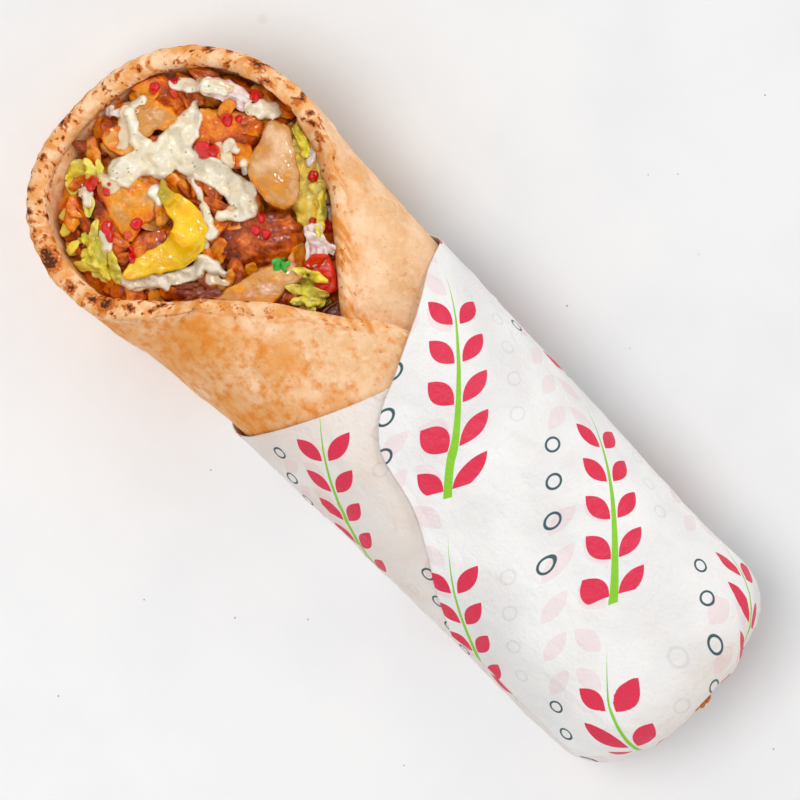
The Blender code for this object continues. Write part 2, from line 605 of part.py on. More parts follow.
LAYING_ORDER = (
    "lettuce_far_left", "lettuce_near_left", "meat_red_left", "lettuce_corner", "lettuce_rib",
    "tomato_corner", "tomato_sliver", "onion_corner", "red_pepper_bit", "meat_brown_left",
    "meat_brown_fold", "meat_crumbly", "meat_under_edge", "meat_pale_slice", "meat_seared_slice",
    "onion_bit", "meat_curl_outer", "meat_curl_pale", "meat_wedge_small", "tomato_top",
    "carrot_strip", "meat_charred", "meat_wedge_large", "meat_curved_strip", "meat_golden_slice",
    "onion_slice", "meat_orange_strip")


def lay_piece(heap, name, materials):
    """Make one named piece and rest it on the heap."""
    if name in MEAT:
        place, (length, width, thickness, taper), bend, turn = MEAT[name]
        points, faces = slab(length, width, thickness, taper, bend, list(MEAT).index(name))
    elif name in LEAVES:
        place, size, ruffle, waves, turn = LEAVES[name]
        points, faces = leaf(*size, ruffle, waves)
    else:
        knots, widths, thickness = STRIPS[name]
        place, turn = (0, 0), (0, 0, 0)
        points, faces = sweep(knots, widths, thickness)
    kind = name.split("_")[0]
    rest_piece(heap, name, points, faces, place, turn, materials[kind])


def build():
    """Build the whole sandwich."""
    clear_scene()
    materials = {
        "bread": make_material("bread", (0.80, 0.56, 0.34), 0.75),
        "paper": make_material("greaseproof_paper", (0.86, 0.85, 0.84), 0.6),
        "filling": make_material("packed_filling", (0.45, 0.24, 0.09), 0.5),
        "meat": make_material("roast_meat", (0.55, 0.29, 0.13), 0.45),
        "lettuce": make_material("lettuce", (0.70, 0.70, 0.15), 0.4),
        "tomato": make_material("tomato", (0.62, 0.06, 0.02), 0.3),
        "red": make_material("red_pepper", (0.65, 0.12, 0.02), 0.3),
        "onion": make_material("onion", (0.80, 0.70, 0.68), 0.3),
        "carrot": make_material("carrot", (0.70, 0.30, 0.05), 0.4),
        "sauce": make_material("garlic_sauce", (0.80, 0.74, 0.58), 0.3),
        "pepper": make_material("banana_pepper", (0.88, 0.66, 0.03), 0.3),
    }
    rolled_sheet("flatbread", BREAD_EDGE, BREAD_END, bread_rise, BREAD_THICKNESS, BREAD_FLOOR,
                 BREAD_GRID, BREAD_CROWDING, LIP_POINTS, materials["bread"])
    rolled_sheet("paper_wrap", PAPER_EDGE, PAPER_END, paper_rise, PAPER_THICKNESS, PAPER_FLOOR,
                 PAPER_GRID, 1.0, 0, materials["paper"])
    heap = Heap()
    heap.add(filling_core(materials["filling"]))
    for name in LAYING_ORDER:
        lay_piece(heap, name, materials)
    for name, (blobs, depth) in SAUCES.items():
        sauce(heap, name, blobs, depth, materials["sauce"])
    points, faces = sweep(*PEPPER_RING)
    rest_piece(heap, "banana_pepper", points, faces, (0, 0), (0, 0, 0), materials["pepper"])


build()
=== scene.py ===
"""Doner kebab sandwich in a greaseproof paper sleeve: the looks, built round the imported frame.

Lengths are in millimetres until add_mesh() turns them into metres. +X runs along the roll to its
open end, +Y is the side whose flap lies on top, and +Z is up.
"""
import json
import math

import bpy
import numpy as np
from mathutils import Matrix, Vector
from mathutils.bvhtree import BVHTree

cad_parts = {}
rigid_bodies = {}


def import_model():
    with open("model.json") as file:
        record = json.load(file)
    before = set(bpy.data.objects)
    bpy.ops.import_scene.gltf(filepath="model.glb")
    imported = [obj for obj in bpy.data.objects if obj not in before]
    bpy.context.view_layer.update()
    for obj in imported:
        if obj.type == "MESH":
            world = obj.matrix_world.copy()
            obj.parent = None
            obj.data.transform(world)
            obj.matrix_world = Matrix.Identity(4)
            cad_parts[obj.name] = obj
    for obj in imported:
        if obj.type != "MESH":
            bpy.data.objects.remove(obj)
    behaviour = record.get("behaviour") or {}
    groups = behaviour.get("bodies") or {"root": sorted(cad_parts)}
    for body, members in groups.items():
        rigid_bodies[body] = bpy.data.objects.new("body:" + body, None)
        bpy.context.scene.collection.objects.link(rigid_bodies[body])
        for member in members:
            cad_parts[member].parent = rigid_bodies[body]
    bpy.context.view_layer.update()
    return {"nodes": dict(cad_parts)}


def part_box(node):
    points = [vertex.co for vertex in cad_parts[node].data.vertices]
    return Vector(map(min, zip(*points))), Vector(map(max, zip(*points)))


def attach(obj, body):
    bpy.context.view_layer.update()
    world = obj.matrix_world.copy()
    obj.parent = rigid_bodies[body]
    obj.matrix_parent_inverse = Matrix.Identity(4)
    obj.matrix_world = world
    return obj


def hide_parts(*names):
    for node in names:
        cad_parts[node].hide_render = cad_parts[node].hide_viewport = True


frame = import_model()

MM = 0.001
ORIGIN = np.array([-0.8, 1.3, 0.0])     # the frame's origin, in the rolled surface's own millimetres

# ---- The rolled surface, as in the frame ------------------------------------------------------
BREAD_THICKNESS = 6.0
PAPER_THICKNESS = 0.5
GAP = 0.35
SECTION_POWER = 2.4
HALF_WIDTH = [(-140, 35.0), (-95, 35.4), (-45, 37.0), (25, 39.0), (60, 41.5), (85, 44.0),
              (113, 44.8), (125, 44.5), (133, 42.4), (140, 39.0), (148, 32.5), (155, 28.0)]
HALF_HEIGHT = [(-140, 21.5), (-45, 24.0), (25, 25.3), (60, 26.0), (85, 27.6), (112, 32.5),
               (126, 30.0), (137, 27.5), (150, 27.0)]
SIDE_SHIFT = [(-140, 1.2), (-95, 1.0), (-45, 0.0), (25, -0.5), (60, 0.2), (113, 1.4),
              (125, 1.8), (133, 2.1), (140, 3.4), (148, 6.0), (155, 6.5)]
END_X = -126.5
END_RADIUS = 12.0
END_DEPTH = 27.0                        # how far round the fold the sheets reach
FAN_START = 63.0
FAN_HEIGHT = 80.0
FAN_RADIUS = 80.0
CURL_REACH = 79.0
CURL_FROM = 50.0
CURL_IN = 0.0155
FAN_BLEND = 30.0
UNDERSIDE_SAG = 1.6
BREAD_FLOOR = PAPER_THICKNESS + GAP
BREAD_EDGE = [(-198, -20), (-185, 12), (-174, 29), (-166, 36), (-146, 50), (-132, 59), (-121, 74),
              (-111, 98), (-96, 112), (-92, 124), (-87, 133.5), (-70, 140.5), (-51, 144),
              (-33, 146), (-15, 147), (20, 147), (36, 146), (58, 143), (80, 137.5), (90, 129),
              (95, 119), (106, 112), (120, 105), (134, 94), (153, 65), (175, 44), (183, 30),
              (199, 12), (207, -10)]
PAPER_EDGE = [(-250, -66), (-233, -54), (-216, -42), (-205, -29), (-198, -10), (-180, 2),
              (-152, 13), (-130, 20), (-90, 24), (0, 46), (90, 25), (139, 15), (162, 8),
              (180, 2), (200, -4)]
LAYER_STEP = (115.0, 155.0)
BREAD_LAYER_RISE = 3.4
PAPER_LAYER_RISE = 0.5
PAPER_DROP = (210.0, 250.0)
PAPER_LAP = (75.0, 110.0)


def smooth_through(knots, at):
    """Value at `at` of a smooth curve through (place, value) knots that never overshoots them."""
    place, value = np.array(knots, dtype=float).T
    step = np.diff(place)
    rise = np.diff(value) / step
    slope = np.zeros_like(value)
    slope[0], slope[-1] = rise[0], rise[-1]
    for i in range(1, len(place) - 1):
        if rise[i - 1] * rise[i] > 0:
            before, after = 2 * step[i] + step[i - 1], step[i] + 2 * step[i - 1]
            slope[i] = (before + after) / (before / rise[i - 1] + after / rise[i])
    at = np.clip(at, place[0], place[-1])
    k = np.clip(np.searchsorted(place, at) - 1, 0, len(place) - 2)
    t = (at - place[k]) / step[k]
    return (value[k] * (1 + 2 * t) * (1 - t) ** 2 + step[k] * slope[k] * t * (1 - t) ** 2
            + value[k + 1] * t * t * (3 - 2 * t) + step[k] * slope[k + 1] * t * t * (t - 1))


def ease(low, high, at):
    """0 below low, 1 above high, and a smooth step between."""
    t = np.clip((at - low) / (high - low), 0.0, 1.0)
    return t * t * (3 - 2 * t)


def signed_power(value, power):
    return np.sign(value) * np.abs(value) ** power


def roll_middle(station, angle):
    """Middle of the bread at a station and an angle in degrees, before the table flattens it."""
    half_width = smooth_through(HALF_WIDTH, station)
    half_height = smooth_through(HALF_HEIGHT, station)
    round_start = END_X + END_RADIUS
    past_end = np.maximum(round_start - station, 0.0)
    turn = np.minimum(past_end / END_RADIUS, math.pi / 2)
    inset = END_RADIUS * (1 - np.cos(turn)) + np.maximum(past_end - END_RADIUS * math.pi / 2, 0.0)
    along = np.maximum(station, round_start) - END_RADIUS * np.sin(turn)
    power = 2 / SECTION_POWER
    theta = np.radians(angle)
    across = (half_width - inset) * signed_power(np.sin(theta), power)
    down = (half_height - inset) * signed_power(np.cos(theta), power)
    tilt = np.maximum(station - FAN_START, 0.0) / FAN_RADIUS
    flat_reach = FAN_HEIGHT - BREAD_FLOOR - BREAD_THICKNESS / 2 + UNDERSIDE_SAG
    curl_reach = CURL_REACH - CURL_IN * np.maximum(np.degrees(tilt) - CURL_FROM, 0.0) ** 2
    both = (np.cos(tilt) / flat_reach) ** FAN_BLEND + curl_reach ** -FAN_BLEND
    distance = both ** (-1 / FAN_BLEND) - half_height + down
    x = np.where(tilt > 0, FAN_START + distance * np.sin(tilt), along)
    y = smooth_through(SIDE_SHIFT, station) + across
    return np.stack([x, y, FAN_HEIGHT - distance * np.cos(tilt)], -1)


def roll_point(station, angle, outward, floor):
    """Point `outward` of the bread's middle, square to it and never below `floor`."""
    station, angle, outward = np.broadcast_arrays(
        np.asarray(station, float), np.asarray(angle, float), np.asarray(outward, float))
    small = 0.05
    along = roll_middle(station + small, angle) - roll_middle(station - small, angle)
    around = roll_middle(station, angle + small) - roll_middle(station, angle - small)
    square = np.cross(around, along)
    square /= np.linalg.norm(square, axis=-1, keepdims=True)
    point = roll_middle(station, angle) + square * outward[..., None]
    point[..., 2] = np.maximum(point[..., 2], floor)
    return point


def bread_rise(angle):
    """How far the bread's middle is lifted outwards: up on the +Y flap, down on the flap under it."""
    return BREAD_LAYER_RISE * ease(*LAYER_STEP, np.abs(angle)) * np.sign(angle)


def paper_rise(angle):
    """How far the paper's middle lies outside the bread's, over the crossed flaps and at its overlap."""
    round_angle = np.where(angle < 0, angle + 360, angle)
    over_flap = ease(*LAYER_STEP, round_angle) * (1 - ease(*PAPER_DROP, round_angle))
    clear = BREAD_THICKNESS / 2 + GAP + PAPER_THICKNESS / 2
    overlap = ease(*PAPER_LAP, np.abs(angle)) * -np.sign(angle)
    return clear + BREAD_LAYER_RISE * over_flap + PAPER_LAYER_RISE * (1 + overlap)


# ---- Noise ------------------------------------------------------------------------------------
def lattice(cell, seed):
    """A repeatable number from 0 to 1 for each whole-number cell."""
    h = cell[..., 0] * 73856093 ^ cell[..., 1] * 19349663 ^ cell[..., 2] * 83492791 ^ seed * 40503
    h = (h ^ (h >> 13)) * 1274126177 & 0xFFFFFFFF
    h = (h ^ (h >> 16)) * 668265263 & 0xFFFFFFFF
    return ((h ^ (h >> 15)) & 0xFFFFFF) / 0xFFFFFF


def noise(points, size, seed=0):
    """Smooth noise from -1 to 1 whose bumps are `size` across."""
    p = np.asarray(points, float) / size
    cell = np.floor(p).astype(np.int64)
    t = p - cell
    t = t * t * t * (t * (6 * t - 15) + 10)
    total = 0.0
    for dx in (0, 1):
        for dy in (0, 1):
            for dz in (0, 1):
                weight = ((t[..., 0] if dx else 1 - t[..., 0]) * (t[..., 1] if dy else 1 - t[..., 1])
                          * (t[..., 2] if dz else 1 - t[..., 2]))
                total = total + weight * lattice(cell + np.array([dx, dy, dz]), seed)
    return 2 * total - 1


def rough(points, size, octaves=3, seed=0):
    """Noise with finer noise on it, from about -1 to 1."""
    total, weight = 0.0, 0.0
    for k in range(octaves):
        total = total + noise(points, size / 2 ** k, seed + 11 * k) * 0.5 ** k
        weight += 0.5 ** k
    return total / weight


# ---- Meshes -----------------------------------------------------------------------------------
def add_mesh(name, points, faces, material, values=None, ride=True):
    """A smooth-shaded piece from points in millimetres, with named numbers at its points."""
    mesh = bpy.data.meshes.new(name)
    points = (np.asarray(points, float) - ORIGIN) * MM
    mesh.vertices.add(len(points))
    mesh.vertices.foreach_set("co", points.astype(np.float32).ravel())
    faces = [np.asarray(f, np.int32) for f in faces]
    sizes = np.concatenate([np.full(len(f), f.shape[1], np.int32) for f in faces])
    corners = np.concatenate([f.ravel() for f in faces])
    mesh.loops.add(len(corners))
    mesh.loops.foreach_set("vertex_index", corners)
    mesh.polygons.add(len(sizes))
    starts = np.concatenate([[0], np.cumsum(sizes)[:-1]]).astype(np.int32)
    mesh.polygons.foreach_set("loop_start", starts)
    mesh.update(calc_edges=True)
    mesh.validate()
    mesh.shade_smooth()
    for key, value in (values or {}).items():
        value = np.asarray(value, np.float32)
        kind = "FLOAT_VECTOR" if value.ndim == 2 else "FLOAT"
        layer = mesh.attributes.new(key, kind, "POINT")
        layer.data.foreach_set("vector" if value.ndim == 2 else "value", value.ravel())
    mesh.materials.append(material)
    piece = bpy.data.objects.new(name, mesh)
    bpy.context.scene.collection.objects.link(piece)
    if ride:
        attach(piece, "root")
    return piece


def grid_quads(columns, rows, close_rows=False, start=0):
    """Quads of a grid of points stored column by column."""
    j = np.arange(columns - 1)[:, None]
    i = np.arange(rows if close_rows else rows - 1)[None]
    k = (i + 1) % rows
    quads = np.stack([j * rows + i, (j + 1) * rows + i, (j + 1) * rows + k, j * rows + k], -1)
    return quads.reshape(-1, 4) + start


def node_box(node):
    """Lowest and highest corner of a frame node, in the rolled surface's millimetres."""
    low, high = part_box(node)
    return np.array(low) / MM + ORIGIN, np.array(high) / MM + ORIGIN


# ---- Materials --------------------------------------------------------------------------------
def srgb(red, green, blue):
    """Linear colour of an everyday 0 to 255 one."""
    values = [v / 255 for v in (red, green, blue)]
    return tuple(v / 12.92 if v <= 0.04045 else ((v + 0.055) / 1.055) ** 2.4 for v in values) + (1.0,)


class Shade:
    """A material's node tree, written as short calls. Every call returns an output socket."""

    def __init__(self, name):
        self.material = bpy.data.materials.new(name)
        self.material.use_nodes = True
        self.tree = self.material.node_tree
        self.shader = self.tree.nodes["Principled BSDF"]
        self.place = self.node("ShaderNodeTexCoord").outputs["Object"]

    def node(self, kind, **settings):
        made = self.tree.nodes.new(kind)
        for key, value in settings.items():
            setattr(made, key, value)
        return made

    def feed(self, socket, value):
        if isinstance(value, bpy.types.NodeSocket):
            self.tree.links.new(value, socket)
        elif value is not None:
            socket.default_value = value

    def set(self, **inputs):
        """Sets or links the surface's own inputs, with _ for spaces."""
        for key, value in inputs.items():
            self.feed(self.shader.inputs[key.replace("_", " ")], value)

    def value(self, name):
        return self.node("ShaderNodeAttribute", attribute_name=name).outputs["Fac"]

    def vector(self, name):
        return self.node("ShaderNodeAttribute", attribute_name=name).outputs["Vector"]

    def noise(self, size, detail=3.0, at=None, roughness=0.55, stretch=None, distortion=0.0):
        """Noise whose bumps are about `size` mm across."""
        where = at if at is not None else self.place
        if stretch:
            mapping = self.node("ShaderNodeMapping")
            self.feed(mapping.inputs["Vector"], where)
            mapping.inputs["Scale"].default_value = stretch
            where = mapping.outputs["Vector"]
        made = self.node("ShaderNodeTexNoise")
        self.feed(made.inputs["Vector"], where)
        made.inputs["Scale"].default_value = 1 / (size * MM)
        made.inputs["Detail"].default_value = detail
        made.inputs["Roughness"].default_value = roughness
        made.inputs["Distortion"].default_value = distortion
        return made.outputs["Fac"]

    def cells(self, size, at=None, feature="F1"):
        made = self.node("ShaderNodeTexVoronoi", feature=feature)
        self.feed(made.inputs["Vector"], at if at is not None else self.place)
        made.inputs["Scale"].default_value = 1 / (size * MM)
        return made.outputs["Distance"]

    def math(self, operation, a, b=None, c=None, clamp=False):
        made = self.node("ShaderNodeMath", operation=operation, use_clamp=clamp)
        for socket, value in zip(made.inputs, (a, b, c)):
            self.feed(socket, value)
        return made.outputs[0]

    def step(self, value, low, high):
        """0 where value is under low, 1 over high, or the reverse if low is above high."""
        made = self.node("ShaderNodeMapRange", interpolation_type="SMOOTHSTEP")
        self.feed(made.inputs["Value"], value)
        for key, number in (("From Min", low), ("From Max", high)):
            made.inputs[key].default_value = number
        if low > high:
            made.inputs["From Min"].default_value, made.inputs["From Max"].default_value = high, low
            made.inputs["To Min"].default_value, made.inputs["To Max"].default_value = 1.0, 0.0
        return made.outputs["Result"]

    def mix(self, amount, a, b, blend="MIX"):
        made = self.node("ShaderNodeMix", data_type="RGBA", blend_type=blend)
        self.feed(made.inputs[0], amount)
        self.feed(made.inputs[6], a)
        self.feed(made.inputs[7], b)
        return made.outputs[2]

    def ramp(self, value, *stops):
        """Colour along stops of (place, colour)."""
        made = self.node("ShaderNodeValToRGB")
        self.feed(made.inputs["Fac"], value)
        band = made.color_ramp
        for k, (place, colour) in enumerate(stops):
            stop = band.elements[k] if k < 2 else band.elements.new(place)
            stop.position = place
            stop.color = colour
        return made.outputs["Color"]

    def bump(self, height, depth, normal=None, strength=1.0):
        """Relief `depth` mm deep."""
        made = self.node("ShaderNodeBump")
        made.inputs["Strength"].default_value = strength
        made.inputs["Distance"].default_value = depth * MM
        self.feed(made.inputs["Height"], height)
        self.feed(made.inputs["Normal"], normal)
        return made.outputs["Normal"]


# ---- Materials of the food and its paper ------------------------------------------------------
CHAR = srgb(84, 40, 12)


def bread_material():
    s = Shade("toasted_flatbread")
    rim, char, stain, ridge, toast = (s.value(k) for k in ("rim", "char", "stain", "ridge", "toast"))
    base = s.mix(s.step(s.noise(11, 3), 0.36, 0.66), srgb(244, 204, 164), srgb(232, 184, 136))
    base = s.mix(s.math("MULTIPLY", s.step(s.noise(2.2, 3), 0.5, 0.7), 0.4), base, srgb(250, 218, 182))
    # The toast value gives real toasted patches. Its rise on the +Y flap and its fall on the -Y flap are painted shade
    # and painted light on the two flaps.
    patches = s.math("ADD", s.noise(16, 3), toast)
    base = s.mix(s.math("MULTIPLY", s.step(patches, 0.42, 0.8), 0.85), base, srgb(228, 150, 62))
    mottle = s.math("ADD", s.noise(3.2, 3, roughness=0.6), s.math("MULTIPLY", toast, 0.55))
    mottle = s.math("ADD", mottle, s.math("MULTIPLY", s.math("SUBTRACT", s.noise(12, 2), 0.5), 0.35))
    base = s.mix(s.math("MULTIPLY", s.step(mottle, 0.46, 0.8), 0.9), base, srgb(224, 130, 26))
    cracks = s.math("MULTIPLY", s.step(s.noise(1.4, 4, roughness=0.75), 0.6, 0.7), s.step(s.noise(9, 2), 0.45, 0.6))
    base = s.mix(s.math("MULTIPLY", cracks, 0.4), base, srgb(206, 128, 60))
    base = s.mix(s.math("MULTIPLY", rim, 0.75), base, s.mix(s.step(s.noise(5, 3), 0.35, 0.65), srgb(248, 212, 170), srgb(232, 156, 74)))
    golden = s.math("MULTIPLY", s.math("MULTIPLY", rim, s.step(ridge, 0.45, 0.85)), s.step(s.noise(7, 2), 0.38, 0.58))
    base = s.mix(s.math("MULTIPLY", golden, 0.85), base, srgb(222, 134, 40))
    torn_edge = s.math("MULTIPLY", s.math("SUBTRACT", s.noise(0.8, 2), 0.5), 0.5)
    freckle = s.step(s.math("ADD", s.cells(2.9), torn_edge), 0.2, 0.08)
    freckle = s.math("MULTIPLY", freckle, s.step(s.noise(6, 2), 0.46, 0.58))
    freckle = s.math("MULTIPLY", freckle, s.math("ADD", s.math("MULTIPLY", rim, 0.6), 0.35))
    base = s.mix(freckle, base, srgb(176, 84, 20))
    fine = s.math("MULTIPLY", s.step(s.math("ADD", s.cells(1.5), torn_edge), 0.14, 0.04), s.step(s.noise(4, 2), 0.48, 0.6))
    base = s.mix(s.math("MULTIPLY", fine, 0.6), base, srgb(176, 96, 36))
    base = s.mix(stain, base, s.mix(s.noise(3, 3), srgb(226, 148, 62), srgb(190, 102, 26)))
    burnt = s.math("ADD", char, s.math("MULTIPLY", s.math("SUBTRACT", s.noise(0.9, 3), 0.5), 1.3))
    edge_of_char = s.math("MULTIPLY", s.step(burnt, 0.12, 0.42), s.step(char, 0.04, 0.16))
    base = s.mix(s.math("MULTIPLY", edge_of_char, 0.9), base, srgb(196, 96, 18))
    base = s.mix(s.math("MULTIPLY", s.step(burnt, 0.5, 0.78), s.step(char, 0.1, 0.3)), base, CHAR)
    relief = s.math("ADD", s.math("MULTIPLY", s.noise(0.9, 4), 0.6), s.noise(2.6, 3))
    roughness = s.math("ADD", s.math("MULTIPLY", s.noise(2.0, 3), 0.2), 0.52)
    s.set(Base_Color=base, Roughness=roughness, Normal=s.bump(relief, 0.5), Specular_IOR_Level=0.2,
          Subsurface_Weight=0.08, Subsurface_Scale=0.003)
    s.shader.inputs["Subsurface Radius"].default_value = (1.0, 0.6, 0.35)
    return s.material


def meat_material():
    """Roast meat. `tone` runs from pale and pink to golden, orange and brown; `sear` is its crust."""
    s = Shade("roast_meat")
    tone, sear = s.value("tone"), s.value("sear")
    browned = s.math("ADD", s.math("MULTIPLY", tone, 0.7), 0.15)
    vary = s.math("MULTIPLY", s.math("SUBTRACT", s.noise(1.9, 4, roughness=0.7), 0.5), browned)
    broad = s.math("MULTIPLY", s.math("SUBTRACT", s.noise(7.5, 2), 0.5), 1.15)
    place = s.math("ADD", tone, s.math("ADD", vary, broad), clamp=True)
    base = s.ramp(place, (0.0, srgb(230, 184, 140)), (0.2, srgb(204, 144, 82)),
                  (0.34, srgb(212, 140, 52)), (0.48, srgb(238, 152, 14)), (0.62, srgb(230, 112, 0)),
                  (0.8, srgb(186, 76, 0)), (1.0, srgb(118, 38, 0)))
    milky = s.math("MULTIPLY", s.step(s.noise(6.0, 2), 0.5, 0.75), s.step(place, 0.85, 0.4))
    base = s.mix(s.math("MULTIPLY", milky, 0.35), base, srgb(240, 206, 150))
    oily = s.math("MULTIPLY", s.step(s.noise(4.2, 3), 0.5, 0.75), s.step(place, 0.2, 0.5))
    base = s.mix(s.math("MULTIPLY", oily, 0.45), base, srgb(216, 84, 0))
    crust = s.math("ADD", sear, s.math("MULTIPLY", s.math("SUBTRACT", s.noise(1.3, 4), 0.5), browned))
    base = s.mix(s.step(crust, 0.32, 0.62), base, srgb(142, 58, 4))
    base = s.mix(s.step(crust, 0.62, 0.95), base, srgb(62, 24, 4))
    spice = s.math("MULTIPLY", s.step(s.cells(1.15), 0.22, 0.1), s.step(s.noise(2.5, 2), 0.5, 0.58))
    base = s.mix(s.math("MULTIPLY", spice, 0.45), base, srgb(110, 56, 22))
    relief = s.math("ADD", s.noise(2.0, 3), s.math("MULTIPLY", s.noise(0.6, 2), 0.15))
    roughness = s.math("ADD", s.math("MULTIPLY", s.noise(2.4, 2), 0.26), 0.06)
    s.set(Base_Color=base, Roughness=roughness, Normal=s.bump(relief, 0.45), Specular_IOR_Level=0.2,
          Subsurface_Weight=0.1, Subsurface_Scale=0.002, Coat_Weight=0.5, Coat_Roughness=0.05)
    s.shader.inputs["Subsurface Radius"].default_value = (1.0, 0.5, 0.2)
    return s.material


def sauce_material():
    s = Shade("garlic_herb_sauce")
    thin = s.value("thin")
    base = s.mix(s.step(s.noise(4.5, 3), 0.35, 0.7), srgb(242, 233, 212), srgb(232, 218, 186))
    base = s.mix(s.math("MULTIPLY", thin, s.math("ADD", s.math("MULTIPLY", s.noise(2.6, 3), 0.9), 0.1)), base, srgb(232, 184, 124))
    herb = s.math("MULTIPLY", s.step(s.cells(2.2), 0.24, 0.1), s.step(s.noise(3.2, 2), 0.46, 0.56))
    base = s.mix(s.math("MULTIPLY", herb, 0.75), base, srgb(104, 116, 74))
    dots = s.math("MULTIPLY", s.step(s.cells(0.85), 0.24, 0.13), s.step(s.noise(3.4, 2), 0.52, 0.58))
    base = s.mix(s.math("MULTIPLY", dots, 0.45), base, srgb(150, 150, 120))
    relief = s.math("ADD", s.noise(3.0, 3), s.math("MULTIPLY", s.noise(0.7, 2), 0.15))
    roughness = s.math("ADD", s.math("MULTIPLY", s.noise(3, 2), 0.15), 0.14)
    s.set(Base_Color=base, Roughness=roughness, Normal=s.bump(relief, 0.3),
          Subsurface_Weight=0.3, Subsurface_Scale=0.003, Coat_Weight=0.6, Coat_Roughness=0.05)
    s.shader.inputs["Subsurface Radius"].default_value = (1.0, 0.85, 0.6)
    return s.material


def wet_material(name, light, dark, deep, spots=3.0, roughness=0.16, glow=0.3, coat=0.5, relief=0.2):
    """A wet vegetable: three colours in soft fields, `deep` where the attribute `tone` is high."""
    s = Shade(name)
    base = s.mix(s.step(s.noise(spots, 3), 0.35, 0.68), light, dark)
    amount = s.math("ADD", s.value("tone"), s.math("MULTIPLY", s.math("SUBTRACT", s.noise(spots / 2, 3), 0.5), 0.5))
    base = s.mix(s.step(amount, 0.2, 0.9), base, deep)
    rough_socket = s.math("ADD", s.math("MULTIPLY", s.noise(2, 3), 0.2), roughness)
    s.set(Base_Color=base, Roughness=rough_socket, Normal=s.bump(s.noise(1.1, 3), relief), Specular_IOR_Level=0.25,
          Subsurface_Weight=glow, Subsurface_Scale=0.003, Coat_Weight=coat, Coat_Roughness=0.06)
    s.shader.inputs["Subsurface Radius"].default_value = (1.0, 0.8, 0.35)
    return s.material


